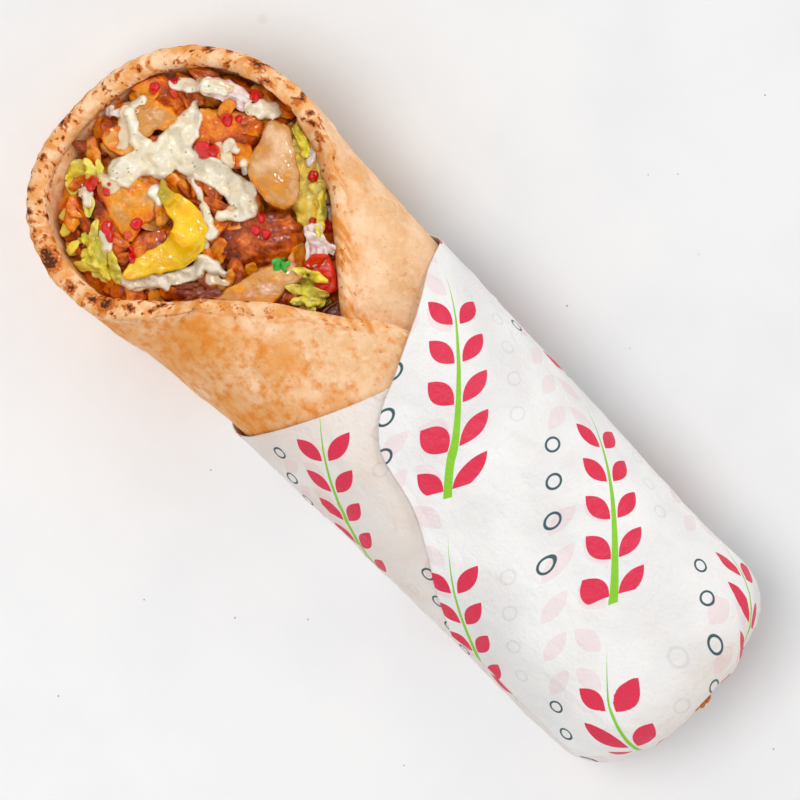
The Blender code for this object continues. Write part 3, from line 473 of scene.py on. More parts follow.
def paper_material():
    """Greaseproof paper with a leaf-sprig print, laid out on the sheet's own millimetres."""
    s = Shade("printed_greaseproof_paper")
    sheet = s.vector("sheet_mm")
    base = s.mix(s.step(s.noise(30, 3), 0.35, 0.7), srgb(236, 236, 236), srgb(222, 222, 223))
    warm = s.value("warm")
    base = s.mix(s.math("MULTIPLY", warm, s.math("ADD", s.noise(14, 3), 0.2)), base, srgb(226, 196, 170))

    def sprigs(turn, offset, mirror=1.0):
        """Masks of the print's leaves, stems and rings on a turned, repeating patch of paper."""
        mapping = s.node("ShaderNodeMapping", vector_type="TEXTURE")
        s.feed(mapping.inputs["Vector"], sheet)
        mapping.inputs["Rotation"].default_value = (0, 0, math.radians(turn))
        mapping.inputs["Location"].default_value = (*offset, 0)
        mapping.inputs["Scale"].default_value = (1, mirror, 1)
        parts = s.node("ShaderNodeSeparateXYZ")
        s.feed(parts.inputs[0], mapping.outputs[0])
        u, v = parts.outputs[0], parts.outputs[1]
        row = s.math("FLOOR", s.math("DIVIDE", v, PRINT_ROW))
        across = s.math("SUBTRACT", s.math("WRAP", v, PRINT_ROW, 0.0), PRINT_ROW / 2)
        shifted = s.math("ADD", u, s.math("MULTIPLY", row, PRINT_SHIFT))
        along = s.math("WRAP", shifted, PRINT_STEP, 0.0)
        # leaves: lens shapes leaning away from the stem, in pairs
        pair = s.math("SUBTRACT", s.math("WRAP", along, LEAF_STEP, 0.0), LEAF_STEP * 0.42)
        side = s.math("ABSOLUTE", across)
        lean_u = s.math("SUBTRACT", s.math("MULTIPLY", pair, LEAF_COS), s.math("MULTIPLY", s.math("SUBTRACT", side, LEAF_AWAY), -LEAF_SIN))
        lean_v = s.math("ADD", s.math("MULTIPLY", pair, -LEAF_SIN), s.math("MULTIPLY", s.math("SUBTRACT", side, LEAF_AWAY), LEAF_COS))
        long_share = s.math("DIVIDE", lean_u, LEAF_LENGTH / 2)
        lens = s.math("SUBTRACT", s.math("MULTIPLY", s.math("SUBTRACT", 1.0, s.math("MULTIPLY", long_share, long_share)), LEAF_WIDTH / 2), s.math("ABSOLUTE", lean_v))
        inside = s.math("MULTIPLY", s.step(along, 2.0, 2.2), s.step(along, SPRIG_LENGTH, SPRIG_LENGTH - 0.2))
        leaves = s.math("MULTIPLY", s.step(lens, -0.05, 0.12), inside)
        # stem: a long stripe that thins to nothing
        taper = s.math("MULTIPLY", s.math("SUBTRACT", SPRIG_LENGTH + 9, along), STEM_WIDTH / 2 / (SPRIG_LENGTH + 9))
        stem = s.step(s.math("SUBTRACT", taper, side), -0.05, 0.12)
        # rings: small open circles in a bent row after the sprig
        ring_u = s.math("SUBTRACT", s.math("WRAP", along, RING_STEP, 0.0), RING_STEP / 2)
        ring_v = s.math("SUBTRACT", across, RING_AWAY)
        ring_span = s.math("MULTIPLY", s.step(along, RING_STEP, RING_STEP + 0.2),
                           s.step(along, 5 * RING_STEP, 5 * RING_STEP - 0.2))
        away = s.math("SQRT", s.math("ADD", s.math("MULTIPLY", ring_u, ring_u), s.math("MULTIPLY", ring_v, ring_v)))
        ring = s.step(s.math("ABSOLUTE", s.math("SUBTRACT", away, RING_RADIUS)), 0.45, 0.25)
        ring = s.math("MULTIPLY", ring, ring_span)
        return leaves, stem, ring

    ghost_leaves, ghost_stem, ghost_ring = sprigs(-128, (31, -12), -1.0)
    printed = s.value("printed")
    base = s.mix(s.math("MULTIPLY", ghost_leaves, 0.15), base, srgb(226, 110, 140))
    base = s.mix(s.math("MULTIPLY", ghost_ring, 0.12), base, srgb(90, 110, 120))
    leaves, stem, ring = sprigs(PRINT_TURN, PRINT_OFFSET)
    base = s.mix(s.math("MULTIPLY", ring, printed), base, srgb(54, 84, 92))
    base = s.mix(s.math("MULTIPLY", stem, printed), base, srgb(132, 196, 34))
    base = s.mix(s.math("MULTIPLY", leaves, printed), base, srgb(216, 40, 74))
    folded = s.math("ABSOLUTE", s.math("SUBTRACT", s.noise(16, 4, roughness=0.6), 0.5))
    relief = s.math("ADD", s.noise(1.2, 3), s.math("MULTIPLY", folded, -9.0))
    roughness = s.math("ADD", s.math("MULTIPLY", s.noise(8, 3), 0.14), 0.4)
    s.set(Base_Color=base, Roughness=roughness, Normal=s.bump(relief, 0.25), Specular_IOR_Level=0.35,
          Subsurface_Weight=0.06, Subsurface_Scale=0.001)
    return s.material


PRINT_TURN = 52.0
PRINT_OFFSET = (6.0, 10.0)
PRINT_ROW = 43.0
PRINT_STEP = 74.0
PRINT_SHIFT = 33.0
SPRIG_LENGTH = 56.0
LEAF_STEP = 11.2
LEAF_AWAY = 4.6
LEAF_LENGTH = 10.5
LEAF_WIDTH = 5.2
LEAF_COS = math.cos(math.radians(42))
LEAF_SIN = math.sin(math.radians(42))
STEM_WIDTH = 2.4
RING_STEP = 10.5
RING_AWAY = 17.0
RING_RADIUS = 2.0


# ---- Flatbread and paper ----------------------------------------------------------------------
def rolled_sheet(name, edge, columns, rows, near, rise, thickness, floor, relief, lip, material, extra,
                 settle=None):
    """A fine closed sheet on the rolled surface, its rows crowded towards the open edge.

    `relief(angle, station, distance, outer)` is added outwards on the outer face and inwards on the
    inner one. `extra` makes the named numbers from the same four and the points.
    """
    angles = np.linspace(edge[0][0], edge[-1][0], columns)
    edge_station = smooth_through(edge, angles)
    radius = thickness / 2 if lip else 0.0
    t = np.linspace(1.0, 0.0, rows)
    reach = edge_station - radius - (END_X + END_RADIUS - END_DEPTH)
    back = near * t + (reach[:, None] - near) * t ** 2.6
    stations = (edge_station - radius)[:, None] - back
    distance = back + radius
    angle = np.broadcast_to(angles[:, None], stations.shape)
    middle = rise(angle)
    outer = roll_point(stations, angle, middle + thickness / 2 + relief(angle, stations, distance, True), floor)
    inner = roll_point(stations, angle, middle - thickness / 2 - relief(angle, stations, distance, False),
                       floor + thickness)
    turn = np.linspace(math.pi / 2, -math.pi / 2, lip + 2)[1:-1]
    lip_angle = np.broadcast_to(angles[:, None], (columns, lip))
    lip_station = (edge_station - radius)[:, None] + radius * np.cos(turn)
    lip_floor = floor + thickness / 2 * (1 - np.sin(turn))
    round_lip = roll_point(lip_station, lip_angle, rise(lip_angle) + radius * np.sin(turn),
                           np.broadcast_to(lip_floor, lip_angle.shape))
    points = np.concatenate([outer, round_lip, inner[:, ::-1]], axis=1)
    if settle:
        points = settle(points)
    lip_distance = radius - radius * np.cos(turn) + 0 * lip_angle
    all_angle = np.concatenate([angle, lip_angle, angle[:, ::-1]], 1)
    all_station = np.concatenate([stations, lip_station, stations[:, ::-1]], 1)
    all_distance = np.concatenate([distance, lip_distance, distance[:, ::-1]], 1)
    outside = np.concatenate([np.ones_like(stations), 0.5 + 0.5 * np.sin(turn) + 0 * lip_angle,
                              np.zeros_like(stations)], 1)
    size = points.shape[1]
    start = np.arange(size)
    following = (start + 1) % size
    j = np.arange(columns - 1)[:, None] * size
    quads = np.stack([j + start, j + size + start, j + size + following, j + following], -1).reshape(-1, 4)
    i = np.arange(rows - 1)
    cap = np.stack([i, size - 1 - i, size - 2 - i, i + 1], -1)
    last = (columns - 1) * size
    caps = [cap[:, ::-1], cap + last]
    if lip:
        k = np.arange(rows - 1, rows + lip)
        half = (lip + 2) // 2
        close = np.stack([k[:half - 1], k[::-1][:half - 1] + 0, k[::-1][1:half], k[1:half]], -1)
        caps += [close[:, ::-1], close + last]
    values = extra(all_angle, all_station, all_distance, outside, points)
    values = {k: v.reshape(-1, 3) if v.ndim == 3 else v.ravel() for k, v in values.items()}
    return add_mesh(name, points.reshape(-1, 3), [quads] + caps, material, values)


def paper_cover(angle):
    """Station up to which the paper covers the bread at an angle."""
    cover = np.full(np.shape(angle), -200.0)
    for turn in (-360, 0, 360):
        a = angle + turn
        within = (a >= PAPER_EDGE[0][0]) & (a <= PAPER_EDGE[-1][0])
        cover = np.where(within, np.maximum(cover, smooth_through(PAPER_EDGE, a)), cover)
    return cover


def edge_length(edge, angles):
    """Length along a sheet's edge up to each angle, in millimetres."""
    fine = np.linspace(edge[0][0], edge[-1][0], 900)
    line = roll_middle(smooth_through(edge, fine), fine)
    run = np.concatenate([[0], np.cumsum(np.linalg.norm(np.diff(line, axis=0), axis=1))])
    return np.interp(angles, fine, run)


def bead_ridges(angle, distance):
    """Uneven cross ridges along the bead, from -1 to 1."""
    run = edge_length(BREAD_EDGE, angle)
    drift = 1.3 * noise(np.stack([run, 0 * run, 0 * run], -1), 17, 5)
    wave = np.sin(2 * math.pi * (run + 0.35 * distance) / 4.6 + 3.6 * drift)
    uneven = noise(np.stack([run, distance / 5, 0 * run], -1), 3.1, 8)
    return 0.45 * wave + 0.75 * uneven


def bread_relief(angle, station, distance, outer):
    open_part = ease(0, 9, station - paper_cover(angle)) if outer else 1.0
    where = np.stack([station, edge_length(BREAD_EDGE, angle), 0 * station], -1)
    bead = np.sin(math.pi * np.clip((distance - 0.4) / 6.4, 0, 1))
    crease = np.exp(-((distance - 7.1) / 1.1) ** 2)
    uneven = 1 + 0.5 * noise(where, 14, 3)
    puffs = 0.5 * noise(where, 15, 1) + 0.28 * noise(where, 6.5, 2) + 0.12 * noise(where, 2.6, 4)
    blisters = 0.35 * np.maximum(noise(where, 4.2, 9) - 0.35, 0)
    body = (puffs + blisters) * ease(5, 12, distance)
    rim = 0.35 * bead * uneven - 0.45 * crease * uneven + 0.34 * bead * bead_ridges(angle, distance)
    return open_part * (rim + body) + (0 if outer else -0.1)


def lean_in(points):
    """Leans the far corner of the lip a little inwards."""
    away = np.hypot(points[..., 0] - 110, points[..., 1] + 42)
    push = 2.2 * np.exp(-(away / 22) ** 2) * ease(12, 40, points[..., 2])
    return points + push[..., None] * np.array([-0.7, 0.7, 0.0])


# Scorched spots on the rim: place on the table, and radius.
SCORCHES = [(131, 13, 1.3), (133, 4, 1.0), (131.6, 9.5, 0.8), (127.5, 25, 0.8), (118, 32.5, 0.9),
            (114, 37, 0.9), (104, 46, 2.7), (106.6, 44.8, 1.6), (82, 43, 2.4), (85.8, 44.8, 1.2),
            (101, -42, 1.6), (97, -42.4, 0.8), (84.3, -45, 1.0), (79, -42.6, 1.1), (75.8, -41.3, 1.0),
            (72.5, -39.8, 0.9), (69, -37, 0.9), (124, 35.5, 0.9), (116, -35, 1.0), (90, -44, 0.8),
            (62, 20, 1.0), (70, 32.5, 0.9), (76, 39.5, 1.1), (52, 11.5, 0.8), (130, -3, 0.8),
            (126, -15, 0.7), (110, -39, 0.9), (119.5, 40, 1.0), (93.5, 47, 1.2), (43, 10.5, 0.7)]


def bread_values(angle, station, distance, outside, points):
    rim = ease(8.2, 5.6, distance)
    ridge = np.clip(0.5 + 0.6 * bead_ridges(angle, distance), 0, 1)
    flat = points.reshape(-1, 3)
    wander = np.stack([noise(flat, 2.2, 21), noise(flat, 2.2, 22)], -1) * 0.9
    near = flat[:, :2] + wander
    char = np.zeros(len(flat))
    for x, y, radius in SCORCHES:
        away = np.hypot(near[:, 0] - x, near[:, 1] - y)
        char = np.maximum(char, 1.0 * np.exp(-(away / radius / 1.15) ** 2))
    char *= ease(9.5, 5.5, distance.ravel() + 1.5 * noise(flat, 3, 35))
    specks = np.clip(noise(flat, 2.2, 31) - 0.44, 0, 1) * 1.6 + np.clip(noise(flat, 1.1, 33) - 0.4, 0, 1) * 1.8
    char = np.maximum(char, specks * ease(16, 4, distance.ravel()) * (0.45 + 0.55 * ease(48, 66, flat[:, 0])))
    inner = outside.ravel() < 0.5
    above = flat[:, 2] - heap_top(flat[:, 0], flat[:, 1])
    stain = inner * ease(4.5, -2.0, above + 2.6 * noise(flat, 7, 41)) * 0.8
    # Toasting in broad patches, plus painted shade and light: the +Y flap is pushed more orange and darker, and the -Y
    # flap paler, as if light fell on them.
    toast = outside.ravel() * ease(6, 20, distance.ravel()) * (0.26 * ease(-10, 25, flat[:, 1]) - 0.13)
    return {"rim": rim, "ridge": ridge, "char": char.reshape(rim.shape),
            "stain": stain.reshape(rim.shape), "toast": toast.reshape(rim.shape)}


def sheet_place(angle, station):
    """Millimetres on the opened-out paper: round the roll, and along it."""
    return np.stack([np.radians(angle) * 33.0, station, 0 * station], -1)


def paper_relief(angle, station, distance, outer):
    """Soft creases along and across the roll, gathers at its end, and an edge that lifts a little.

    Both layers of an overlap take the same creases, so that they stay one over the other.
    """
    where = sheet_place(np.mod(angle, 360.0), station)
    turned = np.stack([where[..., 0] * 0.8 + where[..., 1] * 0.25, where[..., 1] * 0.22 - where[..., 0] * 0.1,
                       0 * station], -1)
    crease = 1 - np.abs(noise(turned, 9, 51)) * 2.2
    crease_two = 1 - np.abs(noise(where * np.array([0.3, 1.0, 1.0]) + 7.0, 13, 52)) * 2.4
    soft = noise(where, 22, 53) * 0.25 + 0.3
    folds = 0.38 * np.maximum(crease, 0) ** 3 + 0.34 * np.maximum(crease_two, 0) ** 3
    gather = ease(-96, -132, station) * (0.45 * np.sin(np.radians(angle) * 11 + 2.5 * noise(where, 30, 54)) + 0.45)
    lift = 1.3 * ease(7, 0, distance) * (0.6 + 0.4 * noise(where, 18, 55)) * ease(-120, -160, angle)
    outward = folds + soft + gather + lift
    return outward if outer else -outward


def paper_values(angle, station, distance, outside, points):
    warm = 0.15 + 0.4 * ease(60, 110, angle) + 0.3 * ease(-118, -134, points[..., 0])
    return {"sheet_mm": sheet_place(angle, station), "warm": warm, "printed": 0.15 + 0.85 * (outside > 0.5)}


# ---- The heap ---------------------------------------------------------------------------------
HEAP_TOP = [(18, 40.0), (36, 39.0), (50, 37.0), (66, 37.5), (85, 38.0), (100, 36.0),
            (114, 34.5), (125, 32.0), (150, 28.0)]
HEAP_FALL = 4.5
HEAP_HALF_WIDTH = 42.0
MAP_LOW = np.array([22.0, -46.0])
MAP_HIGH = np.array([132.0, 48.0])
MAP_CELL = 0.35
CELL = 0.45                             # size of a piece's faces


def heap_top(x, y):
    """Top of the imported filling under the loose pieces."""
    dome = HEAP_FALL * np.minimum(np.abs(y) / HEAP_HALF_WIDTH, 1.2) ** 2
    return smooth_through(HEAP_TOP, x) - dome


class Heap:
    """What has been laid so far, and how high it stands."""

    def __init__(self):
        self.points, self.faces, self.count = [], [], 0
        self.leafy = []
        self.wall = self.centre = self.turns = self.reach = None
        size = np.ceil((MAP_HIGH - MAP_LOW) / MAP_CELL).astype(int)
        self.x, self.y = np.meshgrid(MAP_LOW[0] + MAP_CELL * np.arange(size[0]),
                                     MAP_LOW[1] + MAP_CELL * np.arange(size[1]), indexing="ij")
        self.z = np.full(self.x.shape, 20.0)

    def within(self, points, gap=0.3):
        """The points, with those past the bread's inner wall brought back inside it."""
        points = points.copy()
        flat = points[:, :2] - self.centre
        away = np.hypot(flat[:, 0], flat[:, 1])
        turn = np.mod(np.arctan2(flat[:, 1], flat[:, 0]), 2 * math.pi)
        for k in np.nonzero(away > 0.78 * np.interp(turn, self.turns, self.reach))[0]:
            ray = Vector((flat[k, 0] / away[k], flat[k, 1] / away[k], 0))
            hit = self.wall.ray_cast(Vector((*self.centre, points[k, 2])), ray, away[k] + gap)
            if hit[0] is not None:
                points[k, :2] = self.centre + flat[k] * (hit[3] - gap) / away[k]
        return points

    def add(self, points, faces):
        for quads in faces:
            self.faces += (np.asarray(quads) + self.count).tolist()
        self.points += np.asarray(points).tolist()
        self.count += len(points)

    def measure(self):
        """Reads the heights of everything laid so far."""
        tree = BVHTree.FromPolygons(self.points, self.faces)
        down = Vector((0, 0, -1))
        heights = self.z.ravel()
        for k, (x, y) in enumerate(zip(self.x.ravel(), self.y.ravel())):
            hit = tree.ray_cast(Vector((x, y, 120.0)), down, 110.0)[0]
            if hit is not None:
                heights[k] = max(heights[k], hit.z)
        self.z = heights.reshape(self.x.shape)
        self.points, self.faces, self.count = [], [], 0

    def keep_floor(self):
        """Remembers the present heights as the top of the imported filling."""
        self.floor = self.z.copy()

    def floor_at(self, x, y):
        return self.at(x, y, self.floor)

    def stamp(self, x, y, radius, level):
        """Notes that a small piece now covers a round patch up to a level."""
        near = np.hypot(self.x - x, self.y - y) < radius
        self.z[near] = np.maximum(self.z[near], level)

    def draped(self, x, y):
        """Height of a soft sheet that rests on the heap and bridges its small hollows."""
        around = [self.at(x + a, y + b) for a, b in ((0, 0), (1.2, 0), (-1.2, 0), (0, 1.2), (0, -1.2))]
        return 0.5 * np.max(around, axis=0) + 0.5 * np.mean(around, axis=0) + 0.7

    def at(self, x, y, z=None):
        """Height at places on the heap."""
        i = np.clip((np.asarray(x, float) - MAP_LOW[0]) / MAP_CELL, 0, self.z.shape[0] - 1.001)
        j = np.clip((np.asarray(y, float) - MAP_LOW[1]) / MAP_CELL, 0, self.z.shape[1] - 1.001)
        i0, j0 = i.astype(int), j.astype(int)
        a, b = i - i0, j - j0
        z = self.z if z is None else z
        return ((1 - a) * (1 - b) * z[i0, j0] + a * (1 - b) * z[i0 + 1, j0]
                + (1 - a) * b * z[i0, j0 + 1] + a * b * z[i0 + 1, j0 + 1])


def normals_of(points, faces):
    """Outward direction at each point of a closed mesh."""
    total = np.zeros_like(points)
    for f in faces:
        f = np.asarray(f)
        a, b, c = points[f[:, 0]], points[f[:, 1]], points[f[:, 2]]
        d = points[f[:, -1]]
        n = np.cross(c - a, d - b) if f.shape[1] == 4 else np.cross(b - a, c - a)
        for k in range(f.shape[1]):
            np.add.at(total, f[:, k], n)
    return total / np.maximum(np.linalg.norm(total, axis=1, keepdims=True), 1e-9)


def closed_curve(corners, spacing, sharp=0.5):
    """A smooth closed outline through its corners, evenly sampled."""
    c = np.array(corners, float)
    before, after, later = np.roll(c, 1, 0), np.roll(c, -1, 0), np.roll(c, -2, 0)
    t = np.linspace(0, 1, 12, endpoint=False)[None, :, None]
    m0, m1 = (after - before)[:, None] * sharp, (later - c)[:, None] * sharp
    p0, p1 = c[:, None], after[:, None]
    line = ((2 * t ** 3 - 3 * t ** 2 + 1) * p0 + (t ** 3 - 2 * t ** 2 + t) * m0
            + (-2 * t ** 3 + 3 * t ** 2) * p1 + (t ** 3 - t ** 2) * m1).reshape(-1, 2)
    line = np.concatenate([line, line[:1]])
    run = np.concatenate([[0], np.cumsum(np.linalg.norm(np.diff(line, axis=0), axis=1))])
    count = max(int(run[-1] / spacing), 20)
    want = np.linspace(0, run[-1], count, endpoint=False)
    return np.stack([np.interp(want, run, line[:, 0]), np.interp(want, run, line[:, 1])], -1)


def top_of(node):
    """The upper face of a frame piece as a smooth function of place."""
    mesh = frame["nodes"][node].data
    co = np.array([v.co for v in mesh.vertices]) / MM + ORIGIN
    up = np.array([v.normal.z for v in mesh.vertices]) > 0.3
    low, high = co.min(0), co.max(0)
    middle = (low + high) / 2
    half = np.maximum((high - low) / 2, 2.0)
    q = (co[up] - middle) / half
    terms = np.stack([np.ones(len(q)), q[:, 0], q[:, 1], q[:, 0] ** 2, q[:, 0] * q[:, 1], q[:, 1] ** 2], -1)
    hold = np.diag([0, 0.02, 0.02, 0.6, 0.6, 0.6]) * len(q) * 0.15
    fit = np.linalg.solve(terms.T @ terms + hold, terms.T @ q[:, 2])

    def height(x, y):
        a = np.clip((x - middle[0]) / half[0], -1.25, 1.25)
        b = np.clip((y - middle[1]) / half[1], -1.25, 1.25)
        z = fit[0] + fit[1] * a + fit[2] * b + fit[3] * a * a + fit[4] * a * b + fit[5] * b * b
        return z * half[2] + middle[2]
    return height, middle


def piece_shape(corners, middle, height, thick, square=3.0, cup=0.0, taper=(0.0, 0.0), cell=CELL, sharp=0.5,
                torn=0.0, seed=0):
    """A rounded piece of food: an outline filled by rings, over its top and under its base."""
    line = closed_curve(corners, cell, sharp)
    area = np.sum(line[:, 0] * np.roll(line[:, 1], -1) - line[:, 1] * np.roll(line[:, 0], -1))
    if area < 0:
        line = line[::-1]
    heart = line.mean(0)
    flat = np.column_stack([line + seed * 17.3, np.zeros(len(line))])
    outward = (line - heart) / np.linalg.norm(line - heart, axis=1, keepdims=True)
    line = line + outward * (torn * rough(flat, 2.6, 2, 500 + seed))[:, None]
    size = np.linalg.norm(line - heart, axis=1).mean()
    turn = np.linspace(0, math.pi, 400)
    r = np.sin(turn) ** (2 / square)
    h = signed_power(np.cos(turn), 2 / square)
    run = np.concatenate([[0], np.cumsum(np.hypot(np.diff(r) * size, np.diff(h) * thick / 2))])
    rings = max(int(run[-1] / cell), 12)
    want = np.linspace(0, run[-1], rings + 1)[1:-1]
    r, h = np.interp(want, run, r), np.interp(want, run, h)
    n = len(line)
    xy = heart + r[:, None, None] * (line - heart)[None]
    x, y = xy[..., 0] + middle[0], xy[..., 1] + middle[1]
    share = 1 + taper[0] * xy[..., 0] / size + taper[1] * xy[..., 1] / size
    z = height(x, y) + thick * share * (h[:, None] - 1) / 2
    z = z - cup * (1 - r[:, None] ** 2) * (h[:, None] > 0)
    points = np.stack([x, y, z], -1).reshape(-1, 3)
    radial = np.repeat(r, n)
    upper = np.repeat(h, n)
    hx, hy = heart + middle[:2]
    top = [hx, hy, float(height(hx, hy)) - cup]
    bottom = [hx, hy, float(height(hx, hy)) - thick]
    points = np.concatenate([points, [top, bottom]])
    rows = len(want)
    j, i = np.arange(rows - 1)[:, None], np.arange(n)[None]
    k = (i + 1) % n
    quads = np.stack([j * n + i, (j + 1) * n + i, (j + 1) * n + k, j * n + k], -1).reshape(-1, 4)
    i, k = i[0], k[0]
    fan = np.stack([np.full(n, rows * n), i, k], -1)
    base = np.stack([np.full(n, rows * n + 1), (rows - 1) * n + k, (rows - 1) * n + i], -1)
    radial = np.concatenate([radial, [0, 0]])
    upper = np.concatenate([upper, [1, -1]])
    local = (points[:, :2] - np.array([hx, hy])) / size
    return points, [quads, np.concatenate([fan, base])], radial, upper, local


def roughen(points, faces, seed, lumps=0.5, middle=0.3, fine=0.12, grain=0.0, grain_yaw=0.0, facets=0.0):
    """Pushes a piece's surface in and out: lumps, pores, and fibres along its grain."""
    where = points + seed * 13.7
    push = lumps * rough(where, 6.0, 2, seed) + middle * rough(where, 2.3, 2, seed + 3)
    push = push + fine * rough(where, 0.95, 2, seed + 5)
    if grain:
        a = math.radians(grain_yaw)
        along = where[:, 0] * math.cos(a) + where[:, 1] * math.sin(a)
        across = -where[:, 0] * math.sin(a) + where[:, 1] * math.cos(a)
        fibre = np.stack([along * 0.16, across, where[:, 2]], -1)
        push = push + grain * (1 - 2 * np.abs(noise(fibre, 1.5, seed + 7)))
    if facets:
        push = push - facets * np.abs(noise(where, 4.5, seed + 9))
    return points + normals_of(points, faces) * push[:, None]


# ---- Pieces on the heap -----------------------------------------------------------------------
# Meat: outline round the frame piece's middle; thickness; squareness; hollow; tone and its run
# along x and y; crust on the face, crust on the edge; relief as lumps, middle, fine, grain, yaw.
MEAT = {
    "meat_red_left": dict(
        outline=[(8, 5.5), (5, 1.5), (1.5, -3), (-3.5, -1.5), (-2.5, 2.5), (3.5, 5)],
        thick=4, tone=0.9, run=(0, 0), crust=(0.2, 0.5), relief=(0.6, 0.3, 0.15, 0.2, 60)),
    "meat_brown_left": dict(
        outline=[(6, -5), (-0.5, -5.5), (-7.5, -3), (-11, -2), (-12, 2.5), (-8, 4), (-3, 2), (2, 0.5)],
        thick=4, tone=0.72, run=(0.1, -0.1), crust=(0.15, 0.45), relief=(0.7, 0.3, 0.15, 0.25, 20)),
    "meat_brown_fold": dict(
        outline=[(1.5, 3), (1, -5), (-2, -9.5), (-6, -9), (-7, -3), (-6, 4), (-2.5, 7)],
        thick=4, tone=0.8, run=(0, 0), crust=(0.2, 0.4), relief=(0.8, 0.5, 0.2, 0.2, 90)),
    "meat_crumbly": dict(
        outline=[(6.5, 5.5), (3.5, 0), (-2, -6.5), (-6, -8), (-7, -1), (-5, 5), (2, 8.5)],
        thick=5, tone=0.95, run=(0, 0), crust=(0.5, 0.6), relief=(0.7, 1.0, 0.45, 0, 0)),
    "meat_under_edge": dict(
        outline=[(1.5, 1), (0, -4.5), (-4, -5), (-6, -1), (-3, 3)],
        thick=4, tone=0.8, run=(0, 0), crust=(0.1, 0.3), relief=(0.4, 0.3, 0.1, 0.1, 0)),
    "meat_pale_slice": dict(
        outline=[(5.5, 15), (4.5, 6), (2, -3.5), (-1.5, -10), (-6, -12.5), (-9, -11), (-8.5, -5), (-9, 2),
                 (-4, 10)],
        thick=4.5, tone=0.26, run=(-0.05, 0.1), crust=(-0.05, 0.5), relief=(0.5, 0.35, 0.15, 0.2, -110)),
    "meat_seared_slice": dict(
        outline=[(11.5, 8), (9.5, 3), (5.5, -4.5), (0, -12), (-6.5, -13), (-11.5, -9), (-12.5, -3.5),
                 (-9, 5), (-1, 10), (6, 11.5)],
        thick=6.5, tone=0.83, run=(0.1, 0.05), crust=(0.22, 0.42), relief=(0.7, 0.45, 0.2, 0.3, -125)),
    "meat_curl_outer": dict(
        outline=[(10.5, 6.5), (9.5, 1.5), (5.5, -3.5), (-1, -5.5), (-5.5, -5), (-5, 2), (-1.5, 6), (4.5, 6)],
        thick=4.5, square=2.6, cup=0.8, tone=0.66, run=(-0.1, 0.1), crust=(0.05, 0.3),
        relief=(0.8, 0.35, 0.12, 0.25, 30)),
    "meat_curl_pale": dict(
        outline=[(6.5, 6), (6, 0.5), (3, -4.5), (-3, -6.5), (-8, -6), (-8.5, -2.5), (-5, 1), (-3, 6),
                 (2.5, 8)],
        thick=5.5, square=2.6, cup=0.6, tone=0.36, run=(0, -0.1), crust=(-0.1, 0.3),
        relief=(0.9, 0.35, 0.12, 0.15, 45)),
    "meat_wedge_small": dict(
        outline=[(7, 2.5), (5.5, -4), (2.5, -4), (-4.5, -4), (-4.5, 0), (-1.5, 3.5), (3, 4.5)],
        thick=5.5, cup=1.9, tone=0.42, run=(-0.1, 0.1), crust=(-0.1, 0.55),
        relief=(0.4, 0.3, 0.12, 0.2, 0)),
    "meat_charred": dict(
        outline=[(11.5, -0.5), (6.5, -5.5), (2, -9.5), (-5, -12), (-8.5, -8), (-8, -1.5), (-2, 3.5),
                 (4.5, 8)],
        thick=5.5, tone=0.7, run=(-0.28, 0.25), crust=(0.25, 0.35), relief=(0.7, 0.6, 0.3, 0.2, 40)),
    "meat_wedge_large": dict(
        outline=[(9.5, -10), (6, -11), (-1, -7), (-10, -0.5), (-13, 5), (-11, 8.5), (-5, 10), (5, 8.5),
                 (7.5, 5), (9.5, -2), (11.5, -8)],
        thick=7, square=4.0, tone=0.2, run=(0.05, 0.22), crust=(-0.15, 0.38),
        relief=(0.45, 0.14, 0.06, 0.12, 145), sharp=0.4),
    "meat_golden_slice": dict(
        outline=[(11.5, 4.5), (9, 0.5), (1.5, -4.5), (-6, -8), (-9, -2), (-8.5, 5), (-9.5, 11), (-6, 12),
                 (1.5, 10), (8, 8)],
        thick=4.5, square=3.6, tone=0.47, run=(0.0, 0.08), crust=(-0.15, 0.3),
        relief=(0.5, 0.2, 0.08, 0.14, 130), sharp=0.42),
}
# Salad leaves: for each sheet its knots, half widths, lift, frill and number of waves.
LEAVES = {
    "lettuce_far_left": [
        ([(8, 4), (5.5, 0), (6, -4.5)], (2.2, 3.0, 2.4), -0.4, 0.9, 3),
        ([(0, 6), (2.5, 2.5), (3, -3)], (1.8, 2.6, 2.2), 0.2, 1.0, 3)],
    "lettuce_near_left": [
        ([(9, -1.5), (3, -2), (-3, 0), (-8.5, 3)], (1.8, 2.8, 3.0, 1.8), 0.0, 1.1, 5),
        ([(5.5, 2.0), (0, 2.4), (-5, 4)], (1.5, 2.4, 1.6), -0.3, 0.9, 4)],
    "lettuce_corner": [
        ([(6, -1), (1, -1.2), (-6, 0)], (1.8, 3.2, 2.2), -0.4, 1.0, 4),
        ([(4.5, 2.4), (-1, 2.6), (-5.5, 3.4)], (1.4, 2.2, 1.6), 0.2, 0.9, 3)],
    "lettuce_rib": [
        ([(14, -13), (9.5, -9.5), (4, -5.5), (-2, -0.5), (-8, 5), (-13, 10.5)],
         (2.4, 4.0, 5.0, 5.4, 4.8, 3.0), 1.4, 1.3, 7),
        ([(12, -9.5), (6.5, -5.0), (1, -0.5), (-4.5, 4.5)], (1.4, 2.4, 2.6, 1.7), 1.0, 0.9, 5),
        ([(6, -11), (0, -6.5), (-6, -1.5), (-11, 4)], (1.4, 2.4, 2.6, 1.6), 2.0, 1.0, 5)],
}
